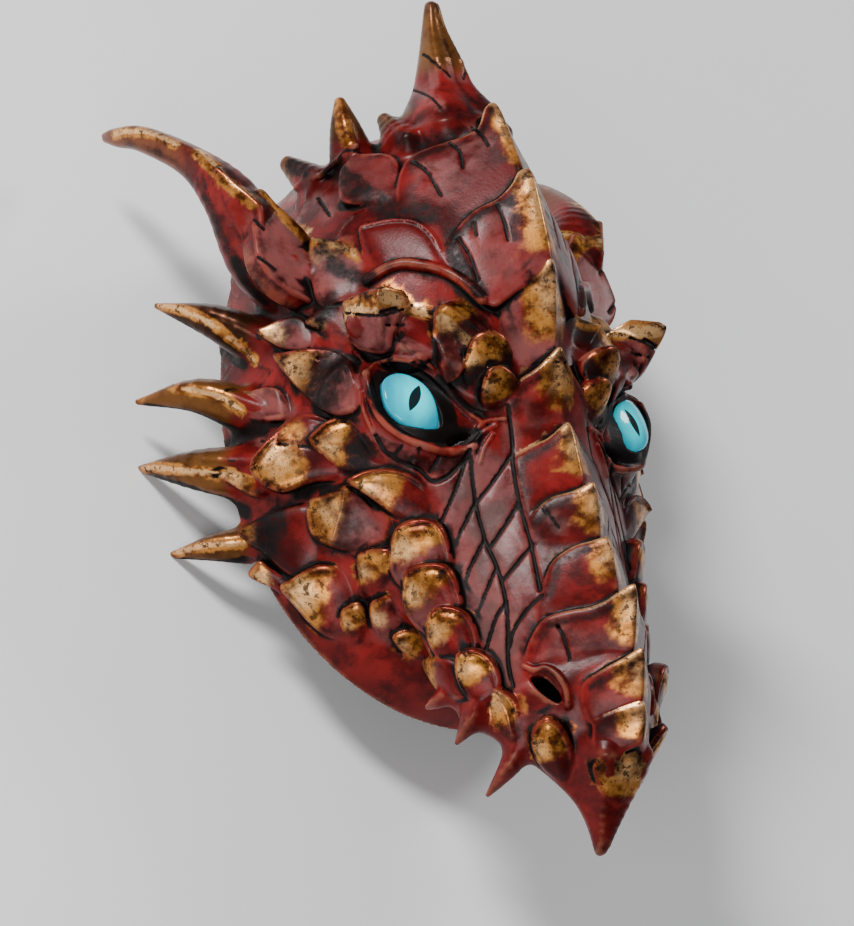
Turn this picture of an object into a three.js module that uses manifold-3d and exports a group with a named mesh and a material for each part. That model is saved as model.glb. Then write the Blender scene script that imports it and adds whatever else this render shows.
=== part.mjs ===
// A dragon head mask of moulded latex: one hollow casting with horns, spikes and
// overlapping scales, and two domed eye lenses of its own.
// Millimetres. The mask lies face up: +X is the wearer's left, +Y runs from the beak to the
// crown, +Z is the way the face looks. The origin is below the middle of its outline, on
// the surface that it lies on. All is drawn with the origin below the eyes, and moved
// along Y at the end.
import * as THREE from 'three';
import { mergeVertices } from 'three/addons/utils/BufferGeometryUtils.js';
import Module from 'manifold-3d';

const wasm = await Module();
wasm.setup();

// Driving sizes
const WALL = 4;                  // thickness of the latex
const RIM_HEIGHT = 30;           // the flat back rim, above the surface it lies on
const EYE_HEIGHT = 119.5;        // middle between the eyes
const HEAD_HALF_WIDTH = 91;      // at the cheeks
const HEAD_DEPTH = 117;          // from the rim to the highest point of the forehead
const WIDEST_Y = 5;              // where the head is widest
const FOREHEAD_Y = 70;           // where the forehead is highest
const CROWN_Y = 168;             // where its width would close in, behind the crown
const CHIN_Y = -104;             // and before the chin
const CROWN_FALL = 100;          // length that the forehead takes to fall to the rim behind
const FACE_FALL = 178;           // and in front, under the snout
const CROWN_END = 166;           // the head is cut off here
const CHIN_END = -103;
const SNOUT_HALF_WIDTH = 70;     // at the eyes, narrowing by a fifth of the way along it
const SNOUT_NARROWING = 0.2;
const SNOUT_DEPTH = 55;          // from the lips to the ridge of the nose
const SNOUT_ROUNDNESS = 1.2;     // of its section: 1 is a plain wedge and 2 is round
const LIP_HEIGHT = 80;
const BEAK_START = -125;         // where the snout starts to close in
const BEAK_END = -189;           // where it would come to nothing
const LIP_RISE = 3;              // how much higher the lips end, at the beak
const LIP_BOW = 10;              // and how far they bow up halfway along it
const LIP_DEPTH = 8;             // from the lips down to the underside of the snout
const BEAK_THINNING = 5;         // how much less that is at the beak
const SNOUT_ROOT_Y = 10;         // the snout runs into the head up to here
const WEDGE_END = 50;            // the head's wedge turns round here, over this length
const WEDGE_BLEND = 14;
const MIDDLE_Y = 4.5;            // middle of the outline, from the beak tip to the crown horn
const GAP = 0.3;                 // air between a lens and the latex around it
const LENS_THICKNESS = 3;
const SMALLEST_STEP = 0.25;      // finer steps than this are smoothed away

// The view that the places below were read from: pixels of an 854 by 926 picture, seen
// from the wearer's right, above the beak. A place is found by sending a ray through its
// pixel until it meets the form.
const YAW = THREE.MathUtils.degToRad(35);
const ROLL = THREE.MathUtils.degToRad(6);
const LEAN = THREE.MathUtils.degToRad(36);
const PIXELS_PER_MM = 2.4;
const VIEW_DISTANCE = 2200;
const PICTURE_MIDDLE = [427, 463];
const EYES_PIXEL = [528, 411];

// Scales of the right side, as seen. half is half their width and lift is how far the
// free tip stands off the form, both in millimetres. side is the tip's distance from the
// middle plane, where the form falls away behind it.
const CHEEK = [
  { tip: [256, 331], root: [316, 341], half: 7, lift: 8 },
  { tip: [303, 323], root: [350, 330], half: 7, lift: 7 },
  { tip: [273, 356], root: [360, 392], half: 14, lift: 9 },
  { tip: [222, 388], root: [292, 412], half: 8, lift: 10 },
  { tip: [249, 469], root: [345, 448], half: 15, lift: 11 },
  { tip: [309, 440], root: [380, 456], half: 12, lift: 10 },
  { tip: [213, 481], root: [278, 502], half: 8, lift: 10 },
  { tip: [236, 531], root: [322, 540], half: 13, lift: 9 },
  { tip: [345, 481], root: [430, 506], half: 10.5, lift: 9 },
  { tip: [308, 503], root: [384, 538], half: 12, lift: 9 },
  { tip: [247, 572], root: [292, 592], half: 5.5, lift: 6 },
  { tip: [280, 587], root: [362, 610], half: 12.5, lift: 9 },
];
const LIP = [
  { tip: [412, 520], root: [424, 588], half: 12.5, lift: 6 },
  { tip: [430, 563], root: [438, 628], half: 12, lift: 6 },
  { tip: [452, 605], root: [462, 668], half: 10.5, lift: 5.5 },
  { tip: [457, 655], root: [486, 698], half: 9, lift: 9 },
  { tip: [494, 684], root: [514, 742], half: 6, lift: 4 },
  { tip: [548, 718], root: [564, 776], half: 9.5, lift: 4 },
  { tip: [357, 556], root: [384, 602], half: 7, lift: 6 },
  { tip: [341, 614], root: [366, 648], half: 6, lift: 4 },
  { tip: [371, 605], root: [398, 645], half: 7.5, lift: 5 },
  { tip: [393, 638], root: [430, 662], half: 5, lift: 4 },
  { tip: [413, 665], root: [447, 690], half: 7, lift: 5, side: 45 },
];
const BROW = [
  { tip: [342, 303], root: [385, 352], half: 10, lift: 8 },
  { tip: [375, 290], root: [412, 354], half: 11, lift: 9 },
  { tip: [437, 306], root: [474, 356], half: 9.5, lift: 8 },
  { tip: [479, 334], root: [480, 402], half: 9, lift: 7 },
  { tip: [496, 366], root: [492, 412], half: 6, lift: 6 },
  { tip: [313, 237], root: [345, 300], half: 11, lift: 12 },
];
const FOREHEAD = [
  { tip: [338, 152], root: [390, 210], half: 12, lift: 5, side: 42 },
  { tip: [405, 220], root: [405, 288], half: 16, lift: 5 },
];

// Plates of the crest, from the crown to the beak: the tip on the middle plane and the
// lower corner on the right side.
const CREST = [
  { tip: [493, 103], corner: [401, 185] },
  { tip: [528, 168], corner: [442, 255] },
  { tip: [552, 258], corner: [500, 318] },
  { tip: [562, 346], corner: [507, 408] },
  { tip: [572, 421], corner: [512, 468] },
  { tip: [594, 481], corner: [528, 525] },
  { tip: [608, 536], corner: [543, 600] },
  { tip: [635, 583], corner: [525, 660] },
  { tip: [644, 648], corner: [577, 700] },
  { tip: [646, 702], corner: [592, 730] },
  { tip: [637, 742], corner: [593, 775] },
];
const OVERLAP = 6;               // how far a plate runs on under the next one
const LAST_LENGTH = 22;          // length of the last plate
const SINK = 3;                  // how deep a plate's underside lies in the form

// Horns, spikes and fangs: a list of places from root to tip, each a pixel, the distance
// to the side of the middle plane, and the radius there.
const SPIKES = {
  horn: [
    [325, 300, 54, 20], [268, 262, 75, 18.5], [231, 200, 90, 13.5], [193, 163, 98, 8.2],
    [145, 140, 104, 6.4], [120, 138, 105.5, 4.8], [107, 138, 106, 2.6],
  ],
  side_1: [[262, 345, 76, 12], [215, 322, 93, 8.5], [157, 306, 106, 1.5]],
  side_2: [[262, 418, 82, 12], [200, 396, 102, 8.5], [138, 402, 116, 1.5]],
  side_3: [[262, 475, 84, 14], [200, 470, 102, 10], [141, 469, 112.3, 1.8]],
  side_4: [[262, 545, 82, 10], [220, 547, 98, 7], [173, 555, 107.7, 1.8]],
  rear_1: [[356, 172, 34, 13], [346, 132, 40, 8], [340, 103, 42, 3]],
  rear_2: [[325, 192, 40, 12], [289, 165, 46, 4.5]],
  rear_3: [[410, 152, 20, 12], [385, 121, 24, 4]],
  fang_1: [[482, 702, 40, 8], [472, 720, 45, 5.5], [457, 743, 48, 1.2]],
  fang_2: [[525, 735, 30, 9], [511, 764, 33, 5.2], [488, 795, 34, 1.2]],
};
const CROWN_HORN = [
  [447, 145, 0, 26], [441, 102, 0, 15], [438, 70, 0, 10.5], [433, 35, 0, 6], [431, 8, 0, 3.5],
];
const BEAK = [[607, 755, 0, 17], [603, 812, 0, 8], [600, 850, 0, 2.5]];

// Openings, each an ellipse of these half sizes, turned as seen
const EYE_FACING = new THREE.Vector3(-0.3, -0.12, 0.95).normalize();
const EYE = { pixel: [412, 401], length: 16.5, width: 10.5, turn: -0.75, facing: EYE_FACING };
const EYE_GAP = { pixel: [459, 437], length: 8, width: 4.2, turn: -0.25 };
const NOSTRIL = { pixel: [546, 687], length: 8, width: 4, turn: -0.55 };
const LENS_RADIUS = 34;          // of its dome
const LENS_PROUD = 1.5;          // how far its middle stands over the form
const HOLE_DEPTH = 60;           // long enough to go through any wall

const PAINT = {
  red: new THREE.MeshStandardMaterial({ color: 0x7d1c17, roughness: 0.5, metalness: 0.05 }),
  glow: new THREE.MeshStandardMaterial({ color: 0x22dcec, roughness: 0.2, metalness: 0 }),
};

// The view
const toViewer = new THREE.Vector3(
  -Math.sin(YAW), -Math.sin(LEAN) * Math.cos(YAW), Math.cos(LEAN) * Math.cos(YAW));
const flatRight = new THREE.Vector3(
  Math.cos(YAW), -Math.sin(LEAN) * Math.sin(YAW), Math.cos(LEAN) * Math.sin(YAW));
const flatUp = new THREE.Vector3(0, Math.cos(LEAN), Math.sin(LEAN));
const viewRight = flatRight.clone().multiplyScalar(Math.cos(ROLL))
  .addScaledVector(flatUp, Math.sin(ROLL));
const viewUp = flatUp.clone().multiplyScalar(Math.cos(ROLL))
  .addScaledVector(flatRight, -Math.sin(ROLL));
const viewer = new THREE.Vector3(0, 0, EYE_HEIGHT)
  .addScaledVector(toViewer, VIEW_DISTANCE)
  .addScaledVector(viewRight, (PICTURE_MIDDLE[0] - EYES_PIXEL[0]) / PIXELS_PER_MM)
  .addScaledVector(viewUp, -(PICTURE_MIDDLE[1] - EYES_PIXEL[1]) / PIXELS_PER_MM);

function pixelRay([column, row]) {
  return toViewer.clone().multiplyScalar(-VIEW_DISTANCE)
    .addScaledVector(viewRight, (column - PICTURE_MIDDLE[0]) / PIXELS_PER_MM)
    .addScaledVector(viewUp, -(row - PICTURE_MIDDLE[1]) / PIXELS_PER_MM)
    .normalize();
}

// Place behind a pixel that is this far to the side of the middle plane, on the right.
function atSide(pixel, side) {
  const ray = pixelRay(pixel);
  return viewer.clone().addScaledVector(ray, (-side - viewer.x) / ray.x);
}

// Smooth joins of two distances
function blendUnion(a, b, size) {
  const share = THREE.MathUtils.clamp(0.5 + 0.5 * (b - a) / size, 0, 1);
  return b * (1 - share) + a * share - size * share * (1 - share);
}

function blendCut(a, b, size) {
  return -blendUnion(-a, -b, size);
}

function arch(share, power, root) {
  const inside = THREE.MathUtils.clamp(share, 0, 1);
  return (1 - inside ** power) ** root;
}

function roundedSection(x, up, halfWidth, height, power) {
  const reach = ((x / halfWidth) ** power + (Math.max(up, 0) / height) ** power) ** (1 / power);
  return (reach - 1) * Math.min(halfWidth, height);
}

function headForm(x, y, z) {
  const towardsCrown = arch((y - WIDEST_Y) / (CROWN_Y - WIDEST_Y), 1.5, 0.5);
  const towardsChin = arch((WIDEST_Y - y) / (WIDEST_Y - CHIN_Y), 2.4, 0.5);
  const halfWidth = HEAD_HALF_WIDTH * (y > WIDEST_Y ? towardsCrown : towardsChin) + 1;
  const overCrown = arch((y - FOREHEAD_Y) / CROWN_FALL, 2.4, 0.5);
  const overFace = arch((FOREHEAD_Y - y) / FACE_FALL, 1.5, 0.5);
  const height = HEAD_DEPTH * (y > FOREHEAD_Y ? overCrown : overFace) + 1;
  // a wedge over the face, rounder from the forehead on
  const roundness = 1 / (1 + Math.exp((WEDGE_END - y) / WEDGE_BLEND));
  const power = 1.6 + 0.45 * roundness;
  const sides = 0.9 * roundedSection(x, z - RIM_HEIGHT, halfWidth, height, power);
  return blendCut(blendCut(sides, y - CROWN_END, 8), CHIN_END - y, 8);
}

function beakShare(y) {
  return (BEAK_START - y) / (BEAK_START - BEAK_END);
}

function snoutHalfWidth(y) {
  const full = SNOUT_HALF_WIDTH + SNOUT_NARROWING * Math.max(y, BEAK_START);
  return full * arch(beakShare(y), 1.4, 1.5) + 1;
}

function snoutForm(x, y, z) {
  const beak = beakShare(y);
  const along = THREE.MathUtils.clamp(beak, 0, 1);
  const bow = 4 * LIP_BOW * along * (1 - along);
  const height = Math.max(SNOUT_DEPTH * arch(beak, 1.8, 1) - bow, 0) + 1;
  const up = z - LIP_HEIGHT - LIP_RISE * along - bow;
  const sides = 0.8 * roundedSection(x, up, snoutHalfWidth(y), height, SNOUT_ROUNDNESS);
  const under = -up - LIP_DEPTH + BEAK_THINNING * along;
  const cut = blendCut(blendCut(sides, under, 6), y - SNOUT_ROOT_Y, 20);
  return blendCut(cut, BEAK_END + 1 - y, 2);
}

function capsule(x, y, z, from, to, fromRadius, toRadius) {
  const axis = to.clone().sub(from);
  const away = new THREE.Vector3(x, y, z).sub(from);
  const along = THREE.MathUtils.clamp(away.dot(axis) / axis.lengthSq(), 0, 1);
  return away.addScaledVector(axis, -along).length() - fromRadius - (toRadius - fromRadius) * along;
}

const CREST_BACK = new THREE.Vector3(0, 128, 139);
const CREST_FRONT = new THREE.Vector3(0, 60, 143);
const BROW_IN = new THREE.Vector3(30, 14, 128);
const BROW_OUT = new THREE.Vector3(68, 39, 116);
const MOUND_IN = new THREE.Vector3(50, -8, 107);
const MOUND_OUT = new THREE.Vector3(66, 12, 99);
const MOUND_RADIUS = 12;         // of the swelling that each eye stands on
const GLOBE_HEIGHT = 98;         // a place on the middle plane that sees all of the form
const FARTHEST = 260;            // no part of the form is farther from the origin
const HIGHEST = 190;             // or higher

// The smooth form of the mask without its scales: negative inside.
function form(point) {
  const x = Math.abs(point.x);
  const { y, z } = point;
  let value = blendUnion(headForm(x, y, z), snoutForm(x, y, z), 18);
  value = blendUnion(value, capsule(x, y, z, BROW_IN, BROW_OUT, 8, 9), 12);
  value = blendUnion(value, capsule(x, y, z, CREST_BACK, CREST_FRONT, 9, 7), 16);
  return blendUnion(
    value, capsule(x, y, z, MOUND_IN, MOUND_OUT, MOUND_RADIUS, MOUND_RADIUS), 12);
}

function slope(point) {
  const step = 0.5;
  const value = form(point);
  const gradient = new THREE.Vector3();
  for (const axis of ['x', 'y', 'z']) {
    const moved = point.clone();
    moved[axis] += step;
    gradient[axis] = (form(moved) - value) / step;
  }
  return gradient;
}

// Distance from the form, true near it
function distance(point) {
  return form(point) / Math.max(slope(point).length(), 0.2);
}

// First place where a pixel's ray comes this close to the form
function onForm(pixel, lift = 0) {
  const ray = pixelRay(pixel);
  const place = viewer.clone().addScaledVector(ray, VIEW_DISTANCE - FARTHEST);
  for (let step = 0; step < 160; step++) {
    place.addScaledVector(ray, THREE.MathUtils.clamp(0.6 * (distance(place) - lift), -3, 12));
  }
  return place;
}

function solidFrom(geometry) {
  const bare = geometry.clone();
  bare.deleteAttribute('normal');
  bare.deleteAttribute('uv');
  const merged = mergeVertices(bare, 1e-4);
  return new wasm.Manifold(new wasm.Mesh({
    numProp: 3,
    vertProperties: new Float32Array(merged.attributes.position.array),
    triVerts: new Uint32Array(merged.index.array),
  }));
}

function geometryFrom(solid) {
  const mesh = solid.getMesh();
  const geometry = new THREE.BufferGeometry();
  geometry.setAttribute('position', new THREE.BufferAttribute(mesh.vertProperties, 3));
  geometry.setIndex(new THREE.BufferAttribute(mesh.triVerts, 1));
  geometry.computeVertexNormals();
  return geometry;
}

function eachVertex(geometry, place) {
  const position = geometry.attributes.position;
  for (let i = 0; i < position.count; i++) {
    const moved = place(new THREE.Vector3().fromBufferAttribute(position, i));
    position.setXYZ(i, moved.x, moved.y, moved.z);
  }
  return geometry;
}

function mirrored(solid) {
  return solid.mirror([1, 0, 0]);
}

// The solid without the small sealed pockets that overlapping scales leave.
function biggest(solid) {
  return solid.decompose().reduce((best, body) => (body.volume() > best.volume() ? body : best));
}

// The form as a solid, grown by offset: a globe whose points are pushed out to it from a
// place inside the head that sees all of it.
function formSolid(offset, around, rings) {
  const centre = new THREE.Vector3(0, 0, GLOBE_HEIGHT);
  const globe = new THREE.SphereGeometry(1, around, rings);
  return solidFrom(eachVertex(globe, (direction) => {
    let near = 0;
    let far = FARTHEST;
    for (let step = 0; step < 26; step++) {
      const middle = (near + far) / 2;
      const place = centre.clone().addScaledVector(direction, middle);
      const outside = place.z < 0 || distance(place) > offset;
      if (outside) far = middle;
      else near = middle;
    }
    return centre.clone().addScaledVector(direction, near);
  }));
}

// A scale: a flattened cone from its root in the form to its lifted tip, wide along the
// form and keeled on top.
function scaleSolid({ tip, root, half, lift, side: tipSide }) {
  const middlePixel = [(tip[0] + root[0]) / 2, (tip[1] + root[1]) / 2];
  const start = onForm(root, -1.5);
  const end = tipSide ? atSide(tip, tipSide) : onForm(tip, lift);
  const middle = onForm(middlePixel, 0.35 * lift);
  const spine = new THREE.CatmullRomCurve3([start, middle, end]);
  const up = slope(middle).normalize();
  const cone = new THREE.ConeGeometry(1, 1, 6, 3);
  return solidFrom(eachVertex(cone, (point) => {
    const along = point.y + 0.5;
    const radius = Math.hypot(point.x, point.z);
    const place = spine.getPoint(along);
    if (radius < 1e-6) return place;
    const side = spine.getTangent(along).cross(up).normalize();
    const width = half * (0.72 + 0.9 * along - 1.62 * along ** 3);
    const thickness = 3.6 * (1 - 0.75 * along) + 0.6;
    const raise = point.z / radius;
    return place.addScaledVector(side, width * point.x / radius)
      .addScaledVector(up, thickness * (raise > 0 ? raise : 0.8 * raise));
  }));
}

// A horn or spike: a round taper along a smooth curve.
function spikeSolid(places, sides) {
  const spine = new THREE.CatmullRomCurve3(
    places.map(([column, row, side]) => atSide([column, row], side)));
  const radii = new THREE.CatmullRomCurve3(
    places.map((place) => new THREE.Vector3(place[3], 0, 0)));
  const steps = 2 * (places.length - 1);
  const cone = new THREE.ConeGeometry(1, 1, sides, steps);
  return solidFrom(eachVertex(cone, (point) => {
    const along = point.y + 0.5;
    const radius = Math.hypot(point.x, point.z);
    const place = spine.getPoint(along);
    if (radius < 1e-6) return place;
    const side = spine.getTangent(along).cross(toViewer).normalize();
    const top = side.clone().cross(spine.getTangent(along)).normalize();
    const reach = radii.getPoint(along).x / radius;
    return place.addScaledVector(side, reach * point.x).addScaledVector(top, reach * point.z);
  }));
}

// Height of the form straight above a place
function heightOver(x, y) {
  let low = LIP_HEIGHT;
  let high = HIGHEST;
  for (let step = 0; step < 24; step++) {
    const middle = (low + high) / 2;
    if (form(new THREE.Vector3(x, y, middle)) < 0) low = middle;
    else high = middle;
  }
  return low;
}

// A crest plate: a saddle over the ridge. Its free edge sweeps from both lower corners up
// to the tip, and it runs on under the next plate towards the beak.
function crestSolid({ tip, corner }, next) {
  const peak = atSide(tip, 0);
  const foot = onForm(corner);
  const halfWidth = Math.abs(foot.x);
  const end = next ? Math.min(atSide(next.tip, 0).y, foot.y) - OVERLAP : peak.y - LAST_LENGTH;
  const slab = new THREE.BoxGeometry(2, 1, 1, 6, 2, 1);
  const rise = peak.z - heightOver(0, peak.y);
  return solidFrom(eachVertex(slab, (point) => {
    const out = Math.sign(point.x) * Math.abs(point.x) ** 1.4;
    const sweep = 2 * Math.abs(out) - 1;
    const swept = 0.5 + 0.5 * Math.sign(sweep) * Math.abs(sweep) ** 2.2;
    const edge = THREE.MathUtils.lerp(peak.y, foot.y, swept);
    const along = point.y + 0.5;
    const y = THREE.MathUtils.lerp(end, edge, along);
    const x = out * Math.min(halfWidth, 0.85 * snoutHalfWidth(y));
    const fin = rise * along ** 1.5 * Math.exp(-Math.abs(out) * 3.2);
    const plate = 0.4 + 2.4 * along * (1 - 0.6 * Math.abs(out) ** 4);
    const over = point.z > 0 ? Math.max(fin, plate) : -SINK;
    return new THREE.Vector3(x, y, heightOver(x, y) + over);
  }));
}

// A through hole seen as an ellipse: it runs square to the form at its pixel, or along
// the way it faces.
function holeSolid({ pixel, length, width, turn, facing }, grow = 0) {
  const middle = onForm(pixel);
  const out = facing ?? slope(middle).normalize();
  const hole = new THREE.CylinderGeometry(1, 1, HOLE_DEPTH, 18);
  hole.rotateX(Math.PI / 2);
  hole.scale(length + grow, width + grow, 1);
  hole.rotateZ(turn);
  const frame = new THREE.Matrix4().lookAt(out, new THREE.Vector3(), viewUp);
  hole.applyMatrix4(frame);
  hole.translate(middle.x, middle.y, middle.z);
  return solidFrom(hole);
}

// Everything below the rim
function backCut() {
  const depth = 100;
  const cut = new THREE.BoxGeometry(2 * FARTHEST, 2 * FARTHEST, depth);
  cut.translate(0, 0, RIM_HEIGHT - depth / 2);
  return solidFrom(cut);
}

function rightSide() {
  const plates = [...CHEEK, ...LIP, ...BROW, ...FOREHEAD].map(scaleSolid);
  const spikes = Object.values(SPIKES).map((places) => spikeSolid(places, 7));
  return wasm.Manifold.union([...plates, ...spikes]);
}

function middleSpikes() {
  return [spikeSolid(CROWN_HORN, 10), spikeSolid(BEAK, 8)];
}

function makeShell() {
  const outside = formSolid(0, 34, 26).subtract(backCut());
  const inside = formSolid(-WALL, 26, 20);
  const right = rightSide();
  const crest = CREST.map((plate, i) => crestSolid(plate, CREST[i + 1]));
  const grown = wasm.Manifold.union([
    outside, right, mirrored(right), ...crest, ...middleSpikes()]);
  const holes = [EYE, EYE_GAP, NOSTRIL].map((hole) => holeSolid(hole));
  const openings = holes.flatMap((hole) => [hole, mirrored(hole)]);
  const hollow = grown.subtract(wasm.Manifold.union([inside, ...openings]));
  return biggest(hollow.asOriginal().simplify(SMALLEST_STEP));
}

// A lens: the part of a domed shell that stands in its eye opening, clear of its edge.
function lensSolid() {
  const front = onForm(EYE.pixel).addScaledVector(EYE_FACING, LENS_PROUD);
  const middle = front.clone().addScaledVector(EYE_FACING, -LENS_RADIUS);
  const dome = (radius) => {
    const ball = new THREE.SphereGeometry(radius, 24, 18);
    ball.translate(middle.x, middle.y, middle.z);
    return solidFrom(ball);
  };
  const plug = holeSolid(EYE, -GAP);
  return dome(LENS_RADIUS).subtract(dome(LENS_RADIUS - LENS_THICKNESS)).intersect(plug);
}

function addPiece(name, solid, paint) {
  const centred = solid.translate([0, -MIDDLE_Y, 0]);
  const piece = new THREE.Mesh(geometryFrom(centred), paint);
  piece.name = name;
  group.add(piece);
}

const group = new THREE.Group();
const rightLens = lensSolid();
addPiece('mask_shell', makeShell(), PAINT.red);
addPiece('eye_lens_right', rightLens, PAINT.glow);
addPiece('eye_lens_left', mirrored(rightLens), PAINT.glow);

export default group;
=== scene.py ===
"""Looks of the dragon mask: a sculpt of its latex skin with every scale, its paint, and
its lenses. Lengths are millimetres until a mesh is made, and the drawing's origin is below
the eyes, as in the solids."""

import bpy
import numpy as np
from mathutils import Matrix, Vector


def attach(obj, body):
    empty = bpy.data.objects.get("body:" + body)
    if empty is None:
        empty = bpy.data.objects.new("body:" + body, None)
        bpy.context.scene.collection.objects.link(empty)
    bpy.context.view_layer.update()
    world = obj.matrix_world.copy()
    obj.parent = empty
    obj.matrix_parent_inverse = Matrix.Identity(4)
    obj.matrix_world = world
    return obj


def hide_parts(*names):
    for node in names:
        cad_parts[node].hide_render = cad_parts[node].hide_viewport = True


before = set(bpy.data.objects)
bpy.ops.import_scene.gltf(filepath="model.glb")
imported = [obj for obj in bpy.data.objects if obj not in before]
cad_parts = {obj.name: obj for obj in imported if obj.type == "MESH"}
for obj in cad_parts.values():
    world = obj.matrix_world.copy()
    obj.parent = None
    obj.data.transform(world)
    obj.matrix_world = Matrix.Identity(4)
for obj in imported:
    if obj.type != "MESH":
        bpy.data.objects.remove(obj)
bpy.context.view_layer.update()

# Driving sizes, as in the solids
WALL = 4.0
RIM_HEIGHT = 30.0
HEAD_HALF_WIDTH = 91.0
HEAD_DEPTH = 117.0
WIDEST_Y = 5.0
FOREHEAD_Y = 70.0
CROWN_Y = 168.0
CHIN_Y = -104.0
CROWN_FALL = 100.0
FACE_FALL = 178.0
CROWN_END = 166.0
CHIN_END = -103.0
WEDGE_END = 50.0
WEDGE_BLEND = 14.0
SNOUT_HALF_WIDTH = 70.0
SNOUT_NARROWING = 0.2
SNOUT_DEPTH = 55.0
SNOUT_ROUNDNESS = 1.2
SNOUT_ROOT_Y = 10.0
LIP_HEIGHT = 80.0
LIP_DEPTH = 8.0
BEAK_START = -125.0
BEAK_END = -189.0
LIP_RISE = 3.0
LIP_BOW = 10.0
BEAK_THINNING = 5.0
MIDDLE_Y = 4.5

# The sculpt's grid of samples over the right half
STEP = 0.8
LOW = np.array((-119.0, -203.0, -5.0))
HIGH = np.array((0.0, 208.0, 172.0))
TRIANGLES = 190000

# The photograph's view: an 854 by 926 picture
YAW, ROLL, LEAN = np.radians((35.0, 6.0, 36.0))
PIXELS_PER_MM = 2.4
VIEW_DISTANCE = 2200.0
PICTURE_MIDDLE = np.array((427.0, 463.0))
PICTURE_HEIGHT = 926
SENSOR_HEIGHT = 36.0
EYES = np.array((0.0, 0.0, 119.5))
EYES_PIXEL = np.array((528.0, 411.0))

TO_VIEWER = np.array(
    (-np.sin(YAW), -np.sin(LEAN) * np.cos(YAW), np.cos(LEAN) * np.cos(YAW)))
FLAT_RIGHT = np.array(
    (np.cos(YAW), -np.sin(LEAN) * np.sin(YAW), np.cos(LEAN) * np.sin(YAW)))
FLAT_UP = np.array((0.0, np.cos(LEAN), np.sin(LEAN)))
VIEW_RIGHT = FLAT_RIGHT * np.cos(ROLL) + FLAT_UP * np.sin(ROLL)
VIEW_UP = FLAT_UP * np.cos(ROLL) - FLAT_RIGHT * np.sin(ROLL)
SHIFT = (PICTURE_MIDDLE - EYES_PIXEL) / PIXELS_PER_MM
VIEWER = EYES + TO_VIEWER * VIEW_DISTANCE + VIEW_RIGHT * SHIFT[0] - VIEW_UP * SHIFT[1]

# Scales of the right side. outline runs clockwise from the free tip, in pixels; root is
# where the scale sinks into the skin; lift and root_lift are how far the two stand off.
# pillow is how far the middle bulges. rim is the height of the rolled edge, which covers
# the first part of the outline, up to rim_end, and keel is a ridge. gold is how far the gold
# paint reaches from the tip, as a share of the length; the strengths of the other tones follow:
# the cream tone, which is cream paint and a painted highlight, the black tone, which is black
# paint and painted shade, and pale.
CHEEK = [
    dict(outline=[(255, 331), (266, 324), (282, 317), (298, 316), (309, 326), (314, 343),
                  (303, 351), (288, 350), (272, 343)],
         root=(314, 341), lift=8, gold=0.25, cream_and_highlight=1, black_and_shade=0.5, pale=0.9),
    dict(outline=[(304, 322), (314, 312), (326, 306), (340, 307), (350, 322), (350, 342),
                  (335, 338), (320, 330)],
         root=(348, 330), lift=7, gold=0.2, cream_and_highlight=1, black_and_shade=1, pale=0.3),
    dict(outline=[(272, 356), (286, 352), (303, 349), (326, 346), (340, 350), (351, 364),
                  (357, 385), (356, 408), (338, 415), (318, 409), (302, 394), (286, 376)],
         root=(354, 396), lift=9, rim=1.6, rim_end=0.5, gold=0.45, black_and_shade=1, pale=1, pillow=2),
    dict(outline=[(220, 388), (236, 383), (256, 381), (275, 386), (287, 397), (295, 412),
                  (283, 420), (258, 414), (238, 402)],
         root=(292, 411), lift=10, gold=0.3, cream_and_highlight=0.3, pale=1),
    dict(outline=[(249, 469), (252, 458), (262, 445), (274, 431), (288, 418), (302, 413),
                  (322, 416), (350, 430), (355, 460), (342, 478), (312, 482), (285, 492),
                  (268, 488), (256, 479)],
         root=(345, 448), lift=11, rim=1.8, rim_end=0.45, gold=0.55, cream_and_highlight=0.6, black_and_shade=0.3,
         pillow=3),
    dict(outline=[(308, 441), (316, 429), (328, 420), (344, 415), (358, 416), (367, 427),
                  (375, 444), (386, 458), (390, 470), (368, 474), (345, 472), (326, 457)],
         root=(378, 460), lift=10, rim=1.8, rim_end=0.55, gold=0.55, cream_and_highlight=0.5, black_and_shade=1,
         pillow=2.5),
    dict(outline=[(212, 482), (224, 474), (238, 465), (254, 460), (274, 470), (284, 498),
                  (262, 499), (240, 493), (225, 487)],
         root=(278, 490), lift=10, gold=0.6, black_and_shade=0.2),
    dict(outline=[(236, 531), (246, 524), (256, 520), (266, 514), (284, 508), (306, 505),
                  (320, 520), (325, 548), (314, 570), (296, 578), (276, 566), (262, 551),
                  (248, 543)],
         root=(316, 545), lift=9, gold=0.2, cream_and_highlight=0.5, black_and_shade=1, pillow=2.5),
    dict(outline=[(347, 481), (358, 473), (372, 469), (388, 468), (404, 471), (418, 478),
                  (428, 489), (433, 503), (432, 518), (412, 521), (394, 515), (376, 502),
                  (360, 491)],
         root=(424, 510), lift=9, rim=1.6, rim_end=0.45, gold=0.6, black_and_shade=0.6, pillow=2),
    dict(outline=[(308, 501), (320, 496), (334, 491), (345, 485), (356, 490), (366, 501),
                  (377, 517), (387, 534), (372, 546), (346, 551), (328, 546), (312, 537),
                  (306, 520)],
         root=(378, 532), lift=9, gold=0.45, black_and_shade=0.5, pale=0.8, pillow=1.5,
         keel=[(346, 485), (343, 508), (331, 549)], keel_height=3),
    dict(outline=[(247, 575), (253, 566), (260, 561), (270, 568), (283, 576), (296, 588),
                  (286, 596), (270, 588), (256, 582)],
         root=(292, 590), lift=6, gold=0.4, cream_and_highlight=1),
    dict(outline=[(279, 588), (290, 580), (303, 571), (318, 565), (333, 566), (346, 576),
                  (355, 592), (354, 612), (346, 634), (330, 638), (312, 627), (296, 609)],
         root=(352, 606), lift=9, gold=0.65, cream_and_highlight=1, black_and_shade=0.3, pale=0.4, pillow=3),
]
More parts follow.
